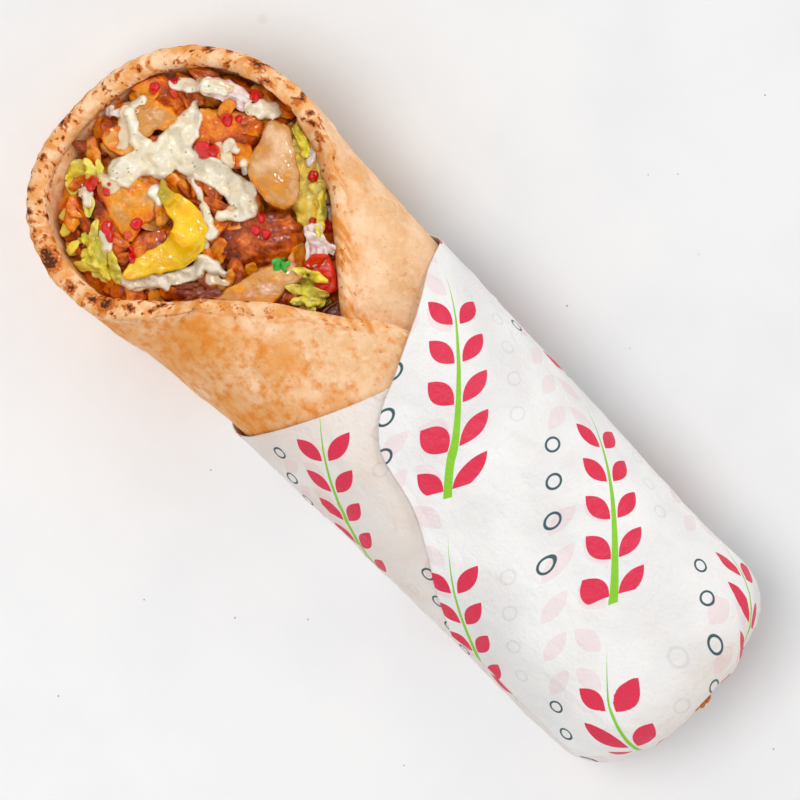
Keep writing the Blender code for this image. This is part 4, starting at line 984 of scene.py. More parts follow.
# Strips: knots along the middle from the frame piece's middle, half widths, thickness, material.
STRIPS = {
    "tomato_corner": ([(5, -2.5), (0, 0), (-5.5, 2.5)], (2.4, 3.2, 2.4), 4.0, "tomato"),
    "tomato_sliver": ([(3, -2), (0, 0), (-2.5, 2.5)], (1.4, 2.0, 1.4), 3.0, "tomato"),
    "red_pepper_bit": ([(3.5, -1.6), (0, 0), (-3.5, 1.4)], (1.4, 2.0, 1.6), 2.6, "red_pepper"),
    "onion_corner": ([(5, -4), (0.5, -0.5), (-4.5, 4)], (2.0, 3.0, 2.0), 2.2, "onion"),
    "onion_slice": ([(8, 3.2), (4.5, 0.6), (0, -1.2), (-6.5, -2.4)], (1.6, 3.0, 3.2, 1.8), 1.8, "onion"),
    "tomato_top": ([(4, 1.5), (0, 0.5), (-3.5, -1.5)], (1.3, 1.9, 1.4), 2.4, "tomato"),
    "carrot_strip": ([(5, 1), (0.5, -0.5), (-3.5, -2.5)], (0.9, 2.0, 1.2), 1.6, "carrot"),
    "onion_bit": ([(0.3, -3.6), (0.6, 0), (-0.8, 3.4)], (1.2, 1.8, 1.3), 1.8, "onion"),
    "meat_orange_strip": ([(6.5, 3), (3, 1.2), (-1, -1), (-5, -3.4)], (1.2, 2.2, 2.4, 1.4), 3.2, "meat"),
    "meat_curved_strip": ([(8, 0.5), (3.5, -2.8), (-2.5, -1.2), (-7.5, 2.2)], (1.2, 2.0, 2.2, 1.2), 3.6,
                          "meat"),
}
STRIP_TONE = {"meat_orange_strip": (0.66, 0.2), "meat_curved_strip": (0.8, 0.3)}


def smooth_line(knots, count):
    """Even points along a smooth open curve through its knots."""
    k = np.array(knots, float)
    run = np.concatenate([[0], np.cumsum(np.linalg.norm(np.diff(k, axis=0), axis=1))])
    want = np.linspace(0, run[-1], count)
    slope = np.gradient(k, run, axis=0)
    i = np.clip(np.searchsorted(run, want) - 1, 0, len(run) - 2)
    h = (run[i + 1] - run[i])[:, None]
    t = ((want - run[i]) / h[:, 0])[:, None]
    return (k[i] * (1 + 2 * t) * (1 - t) ** 2 + h * slope[i] * t * (1 - t) ** 2
            + k[i + 1] * t * t * (3 - 2 * t) + h * slope[i + 1] * t * t * (t - 1)), want / run[-1]


def strip_shape(line, half_width, thick, square=2.6, sides=28):
    """A rounded strip along 3-D points, with pinched ends."""
    count = len(line)
    ahead = np.gradient(line, axis=0)
    ahead /= np.linalg.norm(ahead, axis=1, keepdims=True)
    side = np.cross(ahead, [0, 0, 1.0])
    side /= np.linalg.norm(side, axis=1, keepdims=True)
    up = np.cross(side, ahead)
    turn = np.linspace(0, 2 * math.pi, sides, endpoint=False)
    a, b = signed_power(np.cos(turn), 2 / square), signed_power(np.sin(turn), 2 / square)
    ends = np.sqrt(np.clip(1 - (np.abs(np.linspace(-1, 1, count)) ** 6), 0, 1)) * 0.98 + 0.02
    w, t = half_width * ends, thick / 2 * (0.35 + 0.65 * ends) * np.minimum(ends * 3, 1)
    rings = line[:, None] + side[:, None] * a[None, :, None] * w[:, None, None]
    rings = rings + up[:, None] * b[None, :, None] * np.broadcast_to(t, (count,))[:, None, None]
    points = np.concatenate([rings.reshape(-1, 3), [line[0] - ahead[0] * 0.3, line[-1] + ahead[-1] * 0.3]])
    quads = grid_quads(count, sides, True)
    i = np.arange(sides)
    k = (i + 1) % sides
    n = count * sides
    caps = np.concatenate([np.stack([np.full(sides, n), i, k], -1),
                           np.stack([np.full(sides, n + 1), (count - 1) * sides + k, (count - 1) * sides + i], -1)])
    return points, [quads, caps]


def facing_out(points, faces):
    """The faces, turned if need be so that a closed piece's surface faces outwards."""
    volume = sum(np.einsum("ij,ij->", points[f[:, 0]], np.cross(points[f[:, 1]], points[f[:, 2]])) for f in faces)
    return faces if volume > 0 else [f[:, ::-1] for f in faces]


def lay(heap, name, points, faces, material, values, node=None):
    """Adds a finished piece to the heap, standing for a frame node if one is named."""
    points = heap.within(points)
    piece = add_mesh(name, points, faces, material, values)
    if node:
        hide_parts(node)
    heap.add(points, faces)
    return piece


def meat_values(points, radial, upper, local, seed, tone, run, crust):
    """Tone and crust at each point of a piece of meat."""
    patch = rough(points, 7, 2, seed + 40)
    shade = tone + run[0] * local[:, 0] + run[1] * local[:, 1] + 0.13 * patch
    rim = ease(0.72, 1.0, radial)
    sear = crust[0] + (crust[1] - crust[0]) * rim + 0.3 * rough(points, 3.2, 2, seed + 50)
    return {"tone": np.clip(shade + 0.12 * rim, 0, 1.1), "sear": np.clip(sear, 0, 1.2)}


def lay_meat(heap, material):
    for seed, (node, m) in enumerate(MEAT.items()):
        height, middle = top_of(node)
        points, faces, radial, upper, local = piece_shape(
            m["outline"], middle, height, m["thick"], m.get("square", 3.8), m.get("cup", 0.0),
            sharp=m.get("sharp", 0.36), torn=0.55, seed=seed)
        faces = facing_out(points, faces)
        values = meat_values(points, radial, upper, local, seed, m["tone"], m["run"], m["crust"])
        lumps, mid, fine, grain, yaw = m["relief"]
        points = roughen(points, faces, seed, lumps * 0.8, mid, fine, grain * 0.5, yaw, 0.12)
        lay(heap, "look_" + node, points, faces, material, values, node)


def leaf_sheet(knots, half_widths, height, frill, waves, seed, thick=0.9, cell=0.4):
    """A thin leaf along a line on the heap: crinkled inside, with frilled edges."""
    length = sum(math.dist(a, b) for a, b in zip(knots, knots[1:]))
    line, share = smooth_line(knots, max(int(length / cell), 12))
    line = line + 0.5 * np.stack([rough(np.stack([share * 9, 0 * share, 0 * share + seed], -1), 2, 1, 3),
                                  rough(np.stack([share * 9, 0 * share, 0 * share + seed], -1), 2, 1, 4)], -1)
    ahead = np.gradient(line, axis=0)
    side = np.stack([-ahead[:, 1], ahead[:, 0]], -1) / np.linalg.norm(ahead, axis=1, keepdims=True)
    half = smooth_through(list(zip(np.linspace(0, 1, len(half_widths)), half_widths)), share)
    half = half * np.clip(np.sqrt(np.clip(1 - np.abs(2 * share - 1) ** 7, 0.02, 1)), 0.15, 1)
    across = np.linspace(-1, 1, max(int(2 * max(half_widths) / cell), 8))
    run = share[:, None] * length + 0 * across
    flat = np.stack([run, 4 * across + 0 * run, 0 * run + 9 * seed], -1)
    edge = 1 + 0.22 * noise(flat, 2.4, 20 + seed) + 0.12 * np.sin(run * 1.3 + 3 * seed)
    x = line[:, :1] + side[:, :1] * across * half[:, None] * edge
    y = line[:, 1:] + side[:, 1:] * across * half[:, None] * edge
    out = np.abs(across) + 0 * run
    phase = run * 2 * math.pi * waves / length + 1.6 * noise(flat, 5, 24 + seed) + np.sign(across) * 1.3
    wave = frill * out ** 1.6 * np.sin(phase)
    crinkle = 0.35 * noise(flat, 2.2, 26 + seed) + 0.3 * (1 - 2 * np.abs(noise(flat, 3.4, 28 + seed)))
    z = height(x, y) + wave + crinkle + 0.35 * frill
    body = thick * (1 - 0.75 * out ** 3) / 2 + 0.08
    top, bottom = z + body, z - body
    columns = len(across)
    loop = np.concatenate([np.stack([x, y, top], -1), np.stack([x, y, bottom], -1)[:, ::-1]], 1)
    points = loop.reshape(-1, 3)
    quads = grid_quads(len(share), 2 * columns, True)
    i = np.arange(columns - 1)
    cap = np.stack([i, 2 * columns - 1 - i, 2 * columns - 2 - i, i + 1], -1)
    faces = facing_out(points, [quads, np.concatenate([cap, cap[:, ::-1] + (len(share) - 1) * 2 * columns])])
    vein = np.exp(-(across / 0.16) ** 2) + 0 * run
    tone = 0.25 + 0.5 * vein + 0.45 * noise(flat, 4, 30 + seed) - 0.25 * out
    tone = np.concatenate([tone, tone[:, ::-1]], 1).ravel()
    return points, faces, np.clip(tone, 0, 1)


def lay_leaves(heap, materials):
    for seed, (node, sheets) in enumerate(LEAVES.items()):
        height, middle = top_of(node)
        group = []
        for k, (knots, half_widths, lift, frill, waves) in enumerate(sheets):
            placed = [(x + middle[0], y + middle[1]) for x, y in knots]

            def surface(px, py, lift=lift):
                return np.maximum(height(px, py) - 0.6, heap.at(px, py) + 1.0) + lift

            group.append(leaf_sheet(placed, half_widths, surface, frill, waves, 10 * seed + k))
            covered, _ = smooth_line(placed, 12)
            heap.leafy += [(px, py, 0.8 * max(half_widths)) for px, py in covered]
        points, faces, tone = joined(group)
        kind = "rib" if node == "lettuce_rib" else "lettuce"
        lay(heap, "look_" + node, points, faces, materials[kind], {"tone": tone}, node)


def lay_strips(heap, materials):
    for seed, (node, (knots, widths, thick, kind)) in enumerate(STRIPS.items()):
        height, middle = top_of(node)
        length = sum(math.dist(a, b) for a, b in zip(knots, knots[1:]))
        if kind != "meat":
            line, share = smooth_line(knots, 5)
            ahead = np.gradient(line, axis=0)
            side = np.stack([-ahead[:, 1], ahead[:, 0]], -1) / np.linalg.norm(ahead, axis=1, keepdims=True)
            half = smooth_through(list(zip(np.linspace(0, 1, len(widths)), widths)), share)[:, None] * 1.15
            outline = np.concatenate([line + side * half, (line - side * half)[::-1]])
            points, faces, radial, upper, local = piece_shape(outline, middle, height, thick * 0.8, 3.2, 0.15,
                                                              sharp=0.4, torn=0.4, seed=700 + seed)
            faces = facing_out(points, faces)
            yaw = math.degrees(math.atan2(*(line[-1] - line[0])[::-1]))
            fibres = 0.5 if kind == "onion" else 0.15
            points = roughen(points, faces, 30 + seed, 0.45, 0.22, 0.08, fibres, yaw, 0.1)
            points[:, 2] += 0.3 * np.sin(points[:, 0] * 0.9 + points[:, 1] * 0.7 + seed) * radial
            across = points[:, 1] * math.cos(math.radians(yaw)) - points[:, 0] * math.sin(math.radians(yaw))
            lines = 0.3 * np.sin(3.4 * across + 2.0 * noise(points, 4, 88 + seed)) if kind == "onion" else 0
            tone = 0.2 + lines + 0.35 * rough(points, 3.5, 2, 90 + seed)
            values = {"tone": np.clip(tone, 0, 1), "sear": 0 * radial}
            lay(heap, "look_" + node, points, faces, materials[kind], values, node)
            continue
        line, share = smooth_line(knots, max(int(length / CELL), 14))
        x, y = line[:, 0] + middle[0], line[:, 1] + middle[1]
        z = height(x, y) - thick / 2 + 0.25 * np.sin(share * 7 + seed)
        half = smooth_through(list(zip(np.linspace(0, 1, len(widths)), widths)), share)
        points, faces = strip_shape(np.stack([x, y, z], -1), half, thick, sides=max(int(2.4 * max(widths) / CELL), 16))
        faces = facing_out(points, faces)
        rough_sizes = (0.35, 0.25, 0.1, 0.15) if kind in ("meat", "rib") else (0.3, 0.12, 0.04, 0.05)
        yaw = math.degrees(math.atan2(knots[-1][1] - knots[0][1], knots[-1][0] - knots[0][0]))
        points = roughen(points, faces, 30 + seed, *rough_sizes, yaw)
        tone, sear = STRIP_TONE.get(node, (0.25, 0.0))
        values = {"tone": np.clip(tone + 0.25 * rough(points, 4, 2, 90 + seed), 0, 1),
                  "sear": np.clip(sear + 0.3 * rough(points, 2.5, 2, 95 + seed), 0, 1)}
        lay(heap, "look_" + node, points, faces, materials[kind], values, node)


# ---- Packed filling ---------------------------------------------------------------------------
def packed_filling(bread, materials, heap):
    """A smaller core inside the roll, and the chopped filling's uneven top in its mouth."""
    source = frame["nodes"]["filling_core"].data
    co = np.array([v.co for v in source.vertices]) / MM + ORIGIN
    normal = np.array([v.normal for v in source.vertices])
    co = co - normal * 1.2
    in_mouth = ease(24, 34, co[:, 0]) * (normal[:, 2] > 0.2)
    co[:, 2] -= 2.5 * in_mouth
    by_size = {}
    for polygon in source.polygons:
        by_size.setdefault(len(polygon.vertices), []).append(list(polygon.vertices))
    faces = [np.array(group) for group in by_size.values()]
    tone = {"tone": np.full(len(co), 0.85), "sear": np.full(len(co), 0.4)}
    core = add_mesh("look_packed_core", co, faces, materials["meat"], tone)
    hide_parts("filling_core")

    tree = BVHTree.FromPolygons(bread[0].tolist(), bread[1].tolist())
    centre = np.array([80.0, 1.0])
    turns = np.linspace(0, 2 * math.pi, 360, endpoint=False)
    reach = np.zeros(len(turns))
    for k, turn in enumerate(turns):
        ray = Vector((math.cos(turn), math.sin(turn), 0))
        away = 40.0
        for _ in range(3):
            x, y = centre + away * np.array([ray.x, ray.y])
            start = Vector((*centre, float(heap_top(x, y))))
            hit = tree.ray_cast(start, ray, 60.0)
            away = min(hit[3], 52.0) if hit[0] is not None else 52.0
        reach[k] = away
    for _ in range(2):
        reach = (np.roll(reach, 1) + reach + np.roll(reach, -1)) / 3
    heap.wall, heap.centre, heap.turns, heap.reach = tree, centre, turns, reach
    rings = 96
    share = np.linspace(0, 1, rings + 1)[1:]
    x = centre[0] + share[:, None] * (reach + 0.6) * np.cos(turns)
    y = centre[1] + share[:, None] * (reach + 0.6) * np.sin(turns)
    flat = np.stack([x, y, 0 * x], -1)
    relief = 1.2 * rough(flat, 6, 3, 101) + 0.9 * np.abs(noise(flat, 3.0, 103)) + 0.35 * rough(flat, 1.4, 2, 105)
    z = heap_top(x, y) + relief - 0.8 - 1.5 * ease(0.94, 1, share)[:, None]
    n = len(turns)
    top = np.stack([x, y, z], -1).reshape(-1, 3)
    low = np.stack([x[-1], y[-1], z[-1] - 4], -1)
    points = np.concatenate([top, low, [[*centre, float(z[0].mean())], [*centre, float(z[0].mean()) - 6]]])
    j, i = np.arange(rings)[:, None], np.arange(n)[None]
    k = (i + 1) % n
    quads = np.stack([j * n + i, (j + 1) * n + i, (j + 1) * n + k, j * n + k], -1).reshape(-1, 4)
    i, k = i[0], k[0]
    crown = (rings + 1) * n
    fans = np.concatenate([np.stack([np.full(n, crown), i, k], -1),
                           np.stack([np.full(n, crown + 1), rings * n + k, rings * n + i], -1)])
    faces = facing_out(points, [quads, fans])
    tone = np.clip(0.6 + 0.3 * rough(points, 5, 2, 107), 0.2, 1.1)
    values = {"tone": tone, "sear": np.clip(0.1 + 0.4 * rough(points, 3, 2, 109), 0, 1)}
    lid = add_mesh("look_chopped_filling", points, faces, materials["meat"], values)
    heap.add(points, faces)
    return centre, turns, reach


def end_notch(paper, material):
    """Bread showing at the tip of the closed end, where the folds of the paper part."""
    points = paper[0]
    across = points[np.abs(points[:, 1] - 0.4) < 1.5]
    tip = across[across[:, 0].argmin()]
    group = []
    for k, (y, z, size) in enumerate([(0.2, 1.4, 3.0), (-2.0, 0.2, 2.2), (2.4, 0.6, 2.0)]):
        rng = np.random.default_rng(300 + k)
        points, faces = pebble(rng, size, 0.9, 17, 26)
        points = points * np.array([0.55, 0.6, 0.8]) + np.array([tip[0] + 0.15 * size, 0.4 + y, tip[2] + z])
        group.append((points, faces, np.full(len(points), 0.7)))
    points, faces, char = joined(group)
    flat = 0 * char
    values = {"rim": flat, "ridge": flat, "char": char * (0.6 + 0.5 * noise(points, 1.5, 310)),
              "stain": flat + 1.0, "toast": flat + 0.3}
    add_mesh("look_end_notch", points, faces, material, values)


def pebble(rng, size, flat=0.6, rings=7, sides=10):
    """A small rough lump, as points and faces."""
    turn = np.linspace(0, math.pi, rings)[1:-1]
    spin = np.linspace(0, 2 * math.pi, sides, endpoint=False)
    r = signed_power(np.sin(turn), 0.75)
    x = r[:, None] * np.cos(spin)
    y = r[:, None] * np.sin(spin)
    z = signed_power(np.cos(turn), 0.75)[:, None] + 0 * x
    points = np.concatenate([np.stack([x, y, z], -1).reshape(-1, 3), [[0, 0, 1], [0, 0, -1]]])
    j, i = np.arange(len(turn) - 1)[:, None], np.arange(sides)[None]
    k = (i + 1) % sides
    quads = np.stack([j * sides + i, (j + 1) * sides + i, (j + 1) * sides + k, j * sides + k], -1).reshape(-1, 4)
    i, k = i[0], k[0]
    n, last = len(turn) * sides, (len(turn) - 1) * sides
    fans = np.concatenate([np.stack([np.full(sides, n), i, k], -1),
                           np.stack([np.full(sides, n + 1), last + k, last + i], -1)])
    points = points * (1 + 0.25 * noise(points + rng.uniform(0, 50, 3), 0.9, 3)[:, None])
    stretch = rng.uniform(0.6, 1.3, 2)
    points = points * np.array([stretch[0], stretch[1], flat]) * size
    spin = Matrix.Rotation(rng.uniform(0, 6.28), 3, "Z") @ Matrix.Rotation(rng.uniform(-0.5, 0.5), 3, "X")
    return points @ np.array(spin).T, [quads, fans]


def joined(parts):
    """Several closed shapes, as (points, faces, tone), joined into one."""
    points, tones, by_size, count = [], [], {}, 0
    for shape, faces, tone in parts:
        for f in faces:
            by_size.setdefault(f.shape[1], []).append(f + count)
        points.append(shape)
        tones.append(tone)
        count += len(shape)
    return np.concatenate(points), [np.concatenate(f) for f in by_size.values()], np.concatenate(tones)


def chopped_piece(heap, rng, x, y, size, thick, seed):
    """A chopped scrap with rounded corners, lying on whatever is under it."""
    corners = rng.integers(5, 8)
    turn = np.sort(rng.uniform(0, 2 * math.pi / corners, corners) * 0.5 + np.arange(corners) * 2 * math.pi / corners)
    long_side = rng.uniform(1.0, 2.3)
    radius = size * rng.uniform(0.75, 1.1, corners)
    yaw = rng.uniform(0, 2 * math.pi)
    u, v = radius * np.cos(turn) * long_side, radius * np.sin(turn) / long_side ** 0.4
    outline = np.stack([u * math.cos(yaw) - v * math.sin(yaw), u * math.sin(yaw) + v * math.cos(yaw)], -1)
    around = heap.at(x + outline[:, 0] * 0.7, y + outline[:, 1] * 0.7)
    low = np.minimum(around, np.median(around) + 2.0)
    slope, *_ = np.linalg.lstsq(np.column_stack([outline * 0.7, np.ones(corners)]), low, rcond=None)
    tilt = np.clip(slope[:2], -0.7, 0.7) + rng.uniform(-0.15, 0.15, 2)
    level = max(float(heap.at(x, y)), float(low.mean())) + thick * 0.72

    def height(px, py):
        return level + tilt[0] * (px - x) + tilt[1] * (py - y)

    points, faces, radial, upper, local = piece_shape(outline.tolist(), np.array([x, y, 0]), height, thick, 3.4,
                                                      rng.uniform(0, 0.5), cell=0.62, sharp=0.42, torn=0.5, seed=seed)
    faces = facing_out(points, faces)
    points = roughen(points, faces, seed, 0.7, 0.5, 0.2, 0.3, math.degrees(yaw), 0.2)
    heap.stamp(x, y, size * 0.95, level)
    return points, faces, radial


def fill_gaps(heap, centre, turns, reach, materials):
    """Chopped meat and salad in the gaps between the big pieces, one mesh for each kind."""
    rng = np.random.default_rng(11)
    parts = {"meat": [], "lettuce": [], "tomato": [], "onion": []}
    sear = []
    for k in range(1500):
        turn = rng.uniform(0, 2 * math.pi)
        away = math.sqrt(rng.uniform(0, 1)) * (np.interp(turn, turns, reach) - 1.5)
        x, y = centre + away * np.array([math.cos(turn), math.sin(turn)])
        share = away / np.interp(turn, turns, reach)
        if any(math.hypot(x - px, y - py) < radius for px, py, radius in heap.leafy):
            continue
        if heap.at(x, y) - heap.floor_at(x, y) > 1.4 + 2.4 * ease(0.82, 0.9, share):
            continue
        salad = 0.55 * (ease(-18, -26, y) * ease(88, 80, x) + ease(20, 27, y) * ease(84, 92, x)) + 0.45 * ease(56, 48, x)
        kind = "meat"
        if rng.uniform() < salad:
            kind = rng.choice(["lettuce", "tomato", "onion"], p=[0.62, 0.22, 0.16])
        size, thick = rng.uniform(2.2, 4.6), rng.uniform(2.0, 3.6)
        if kind != "meat":
            size, thick = rng.uniform(1.6, 3.0), rng.uniform(1.2, 2.0)
        points, faces, radial = chopped_piece(heap, rng, x, y, size, thick, 200 + k)
        tone = rng.choice([0.4, 0.5, 0.58, 0.66, 0.76, 0.9]) if kind == "meat" else rng.uniform(0, 0.5)
        parts[kind].append((points, faces, np.clip(tone + 0.15 * rough(points, 4, 2, k), 0, 1)))
        if kind == "meat":
            crust = rng.uniform(-0.2, 0.3) + 0.22 * ease(0.7, 1, radial) + 0.3 * rough(points, 2.5, 2, 300 + k)
            sear.append(np.clip(crust, 0, 1))
    for kind, group in parts.items():
        if not group:
            continue
        points, faces, tones = joined(group)
        points = heap.within(points)
        values = {"tone": tones, "sear": np.concatenate(sear) if kind == "meat" else 0 * tones}
        piece = add_mesh(f"look_chopped_{kind}", points, faces, materials[kind], values)
        heap.add(points, faces)


# Single cut bits: kind, place, size, thickness, tone.
BITS = [("meat", 109.5, 28.0, 4.0, 3.0, 0.72), ("meat", 104.5, 30.5, 2.6, 2.4, 0.85), ("onion", 123.3, -8.4, 1.9, 1.4, 0.0),
        ("onion", 119.8, -3.0, 2.3, 1.5, 0.1), ("tomato", 95.1, -35.0, 1.6, 1.3, 0.1), ("tomato", 64.2, -30.2, 1.8, 1.6, 0.1),
        ("tomato", 51.6, -21.6, 2.6, 2.0, 0.2), ("onion", 47.8, -17.2, 3.0, 1.6, 0.1), ("tomato", 45.4, -11.4, 2.9, 2.2, 0.3),
        ("tomato", 111.8, -31.6, 2.0, 1.6, 0.5), ("tomato", 107.0, -33.8, 1.7, 1.4, 0.5), ("meat", 121.0, 4.0, 2.4, 2.0, 0.75),
        ("meat", 93.4, 26.4, 2.2, 1.8, 0.6), ("tomato", 92.0, 23.4, 1.6, 1.3, 0.5), ("onion", 123.4, 0.6, 1.8, 1.2, 0.0),
        ("tomato", 39.4, -9.6, 2.6, 2.0, 0.2), ("meat", 88.0, 30.5, 2.4, 2.2, 0.8), ("meat", 117.5, -11.0, 2.6, 2.0, 0.55),
        ("meat", 108.5, -21.5, 2.6, 2.2, 0.7), ("meat", 71.0, -12.0, 2.2, 2.0, 0.7),
        ("tomato", 113.5, -17.5, 1.3, 1.2, 0.4), ("onion", 70.0, -34.5, 1.8, 1.3, 0.1)]


def single_bits(heap, materials):
    """The cut bits that show singly, one mesh for each kind."""
    rng = np.random.default_rng(23)
    slots = {"meat": "roast_meat", "tomato": "tomato", "onion": "onion"}
    for kind, slot in slots.items():
        group = []
        for k, (what, x, y, size, thick, tone) in enumerate(BITS):
            if what != kind:
                continue
            points, faces, radial = chopped_piece(heap, rng, x, y, size, thick, 600 + k)
            group.append((points, faces, np.clip(tone + 0.2 * rough(points, 4, 2, 640 + k), 0, 1)))
        points, faces, tones = joined(group)
        points = heap.within(points)
        values = {"tone": tones, "sear": np.clip(0.15 + 0.3 * rough(points, 2.5, 2, 660), 0, 1)}
        piece = add_mesh(f"look_cut_{kind}", points, faces, materials[kind], values)
        heap.add(points, faces)


# Shreds of lettuce: knots along the middle, half width.
SHREDS = [([(80, -36.5), (75.5, -35.5), (70.0, -32.5)], 1.8), ([(60, -29), (54, -22.5), (50, -17.5)], 1.6),
          ([(119, 16), (114, 18.5), (110, 23.5)], 2.0), ([(116, 13.5), (112.5, 16.5), (110.5, 20.5)], 1.6),
          ([(112.5, 23), (108.5, 25), (104.5, 28.5)], 1.8), ([(101, 30.5), (95.5, 33), (90.5, 35.5)], 2.0),
          ([(98, 34), (92.5, 36), (86.5, 37.5)], 1.8), ([(93.5, 30.5), (88.5, 33.5), (84, 36.5)], 1.8),
          ([(103, 27), (99.5, 31.5), (96, 36)], 1.7), ([(47, 0.5), (41, -3), (35, -7.5)], 1.9),
          ([(42.5, 2.5), (38.5, -1), (34.5, -5)], 1.9), ([(49, -5), (43.5, -7.5), (38, -10)], 1.7),
          ([(90, 33), (86.5, 34.5), (82, 35.5)], 1.6)]


def lettuce_shreds(heap, material):
    """Frilled shreds of lettuce draped along the edges of the filling."""
    parts = []
    for k, (knots, half) in enumerate(SHREDS):
        widths = (0.5 * half, 0.95 * half, 0.6 * half)
        parts.append(leaf_sheet(knots, widths, heap.draped, 0.7, 3, 300 + k, 0.7))
    points, faces, tones = joined(parts)
    points = heap.within(points)
    piece = add_mesh("look_lettuce_shreds", points, faces, material, {"tone": tones})
    heap.add(points, faces)


def scatter(name, heap, places, sizes, flat, material, seed, tone=(0.6, 0.3), sink=0.25, rings=7, sides=10):
    """Many small lumps resting on the heap, joined as one piece."""
    rng = np.random.default_rng(seed)
    points, quads, fans, tones, count = [], [], [], [], 0
    for (x, y), size in zip(places, sizes):
        shape, (q, f) = pebble(rng, size, flat, rings, sides)
        z = float(heap.at(x, y)) + size * flat * (1 - 2 * sink)
        points.append(shape + np.array([x, y, z]))
        quads.append(q + count)
        fans.append(f + count)
        tones.append(np.full(len(shape), tone[0] + tone[1] * rng.uniform(-1, 1)))
        count += len(shape)
    points, faces = np.concatenate(points), [np.concatenate(quads), np.concatenate(fans)]
    faces = facing_out(points, faces)
    tones = np.concatenate(tones)
    piece = add_mesh(name, points, faces, material, {"tone": tones, "sear": 0.3 + 0 * tones})
    return points, faces


# ---- Sauce, pepper and toppings ---------------------------------------------------------------
# Sauce: chains of round blobs as x, y, radius and the blob each joins; depth.
SAUCES = {
    "sauce_main": ([(102.2, -5.0, 5.0, 0), (102.2, -10.4, 4.7, 0), (103.6, -15.5, 3.4, 1),
                    (106.0, -19.2, 2.0, 2), (101.3, 0.0, 4.9, 0), (106.0, 6.8, 3.8, 4),
                    (109.0, 11.5, 3.3, 5), (104.8, 11.8, 2.6, 5), (94.6, -5.8, 4.3, 0),
                    (88.4, -8.3, 4.0, 8), (82.5, -9.7, 4.2, 9), (76.7, -10.2, 4.4, 10),
                    (71.8, -9.0, 3.4, 11), (72.2, -5.2, 2.0, 12), (76.3, -1.0, 1.5, 13),
                    (112.0, 0.6, 1.9, 4), (115.0, -1.6, 2.0, 15), (119.0, -3.6, 1.7, 16)], 2.2),
    "sauce_far": ([(115.7, -20.0, 1.8, 0), (111.2, -22.8, 2.3, 0), (107.4, -26.3, 2.1, 1),
                   (103.0, -28.8, 1.4, 2)], 1.0),
    "sauce_dollop": ([(93.3, -31.0, 1.8, 0), (90.6, -33.4, 3.0, 0), (87.6, -35.6, 2.6, 1)], 2.2),
    "sauce_near": ([(70.5, 12.4, 1.8, 0), (66.0, 11.5, 2.2, 0), (62.9, 11.1, 1.5, 1),
                    (69.3, 17.0, 2.3, 0), (72.6, 21.6, 2.4, 3), (75.0, 26.0, 2.3, 4),
                    (81.5, 32.6, 3.0, 5), (72.3, 26.8, 1.3, 5)], 1.7),
}
SPLASHES = [[(89.7, -18.4, 2.3, 0), (86.6, -18.6, 1.2, 0)], [(82.6, -17.6, 1.3, 0), (80.8, -16.0, 1.0, 0)],
            [(110.7, 23.2, 2.0, 0), (108.6, 25.0, 1.7, 0)], [(97.4, 28.4, 2.3, 0), (94.6, 30.4, 1.7, 0)],
            [(95.6, 7.6, 2.3, 0), (92.6, 9.4, 1.6, 0)], [(118.6, -9.4, 1.5, 0), (120.0, -6.0, 1.3, 0)],
            [(91.2, -2.6, 1.1, 0), (86.6, -1.8, 1.0, 0), (82.0, 0.4, 1.2, 1), (77.4, 3.0, 1.6, 2), (74.4, 4.4, 2.2, 3)]]
SAUCE_CELL = 0.36
# Thin smears of sauce that cling to the meat.
SMEARS = [[(114.6, 1.6, 2.4, 0), (118.4, -1.0, 2.0, 0), (120.6, -5.2, 1.6, 1), (113.0, 4.6, 1.8, 0)],
          [(107.6, 14.2, 2.6, 0), (111.0, 16.6, 1.6, 0), (105.2, 17.0, 1.4, 0)],
          [(83.6, 3.2, 1.2, 0), (80.2, 4.4, 1.5, 0), (77.0, 6.0, 1.8, 1), (73.6, 8.6, 1.6, 2)],
          [(73.0, -6.8, 2.2, 0), (74.4, -3.6, 1.8, 0)],
          [(109.4, -25.4, 2.0, 0), (105.6, -29.2, 1.9, 0), (101.6, -31.0, 1.5, 1)],
          [(64.4, 14.6, 2.2, 0), (60.4, 13.2, 1.5, 0)], [(76.6, 29.4, 2.0, 0), (79.6, 33.6, 1.7, 0)],
          [(88.0, -15.6, 1.6, 0), (85.0, -14.6, 1.4, 0), (91.4, -16.4, 1.2, 0)]]
PEPPER_KNOTS = [(97.0, 3.4), (93.6, 6.2), (89.0, 6.6), (84.0, 6.6), (79.6, 9.4), (77.6, 14.4), (79.2, 20.6),
                (82.2, 26.2), (83.4, 31.0), (84.0, 34.2)]
PEPPER_HALF_WIDTHS = (2.2, 3.0, 4.0, 5.0, 6.0, 6.2, 5.0, 3.8, 3.2, 2.6)


def blob_distance(x, y, blobs):
    """Distance outside a chain of round blobs, each joined to another by a tapered neck."""
    nearest = np.full(np.shape(x), 1e9)
    for bx, by, radius, parent in blobs:
        px, py, parent_radius = blobs[parent][:3]
        ax, ay = px - bx, py - by
        t = np.clip(((x - bx) * ax + (y - by) * ay) / max(ax * ax + ay * ay, 1e-6), 0, 1)
        away = np.hypot(x - bx - t * ax, y - by - t * ay)
        away = away - radius - t * (parent_radius - radius)
        blend = np.clip(0.5 + 0.5 * (nearest - away) / 1.4, 0, 1)
        nearest = np.where(nearest > 1e8, away, nearest * (1 - blend) + away * blend - 0.7 * blend * (1 - blend))
    return nearest


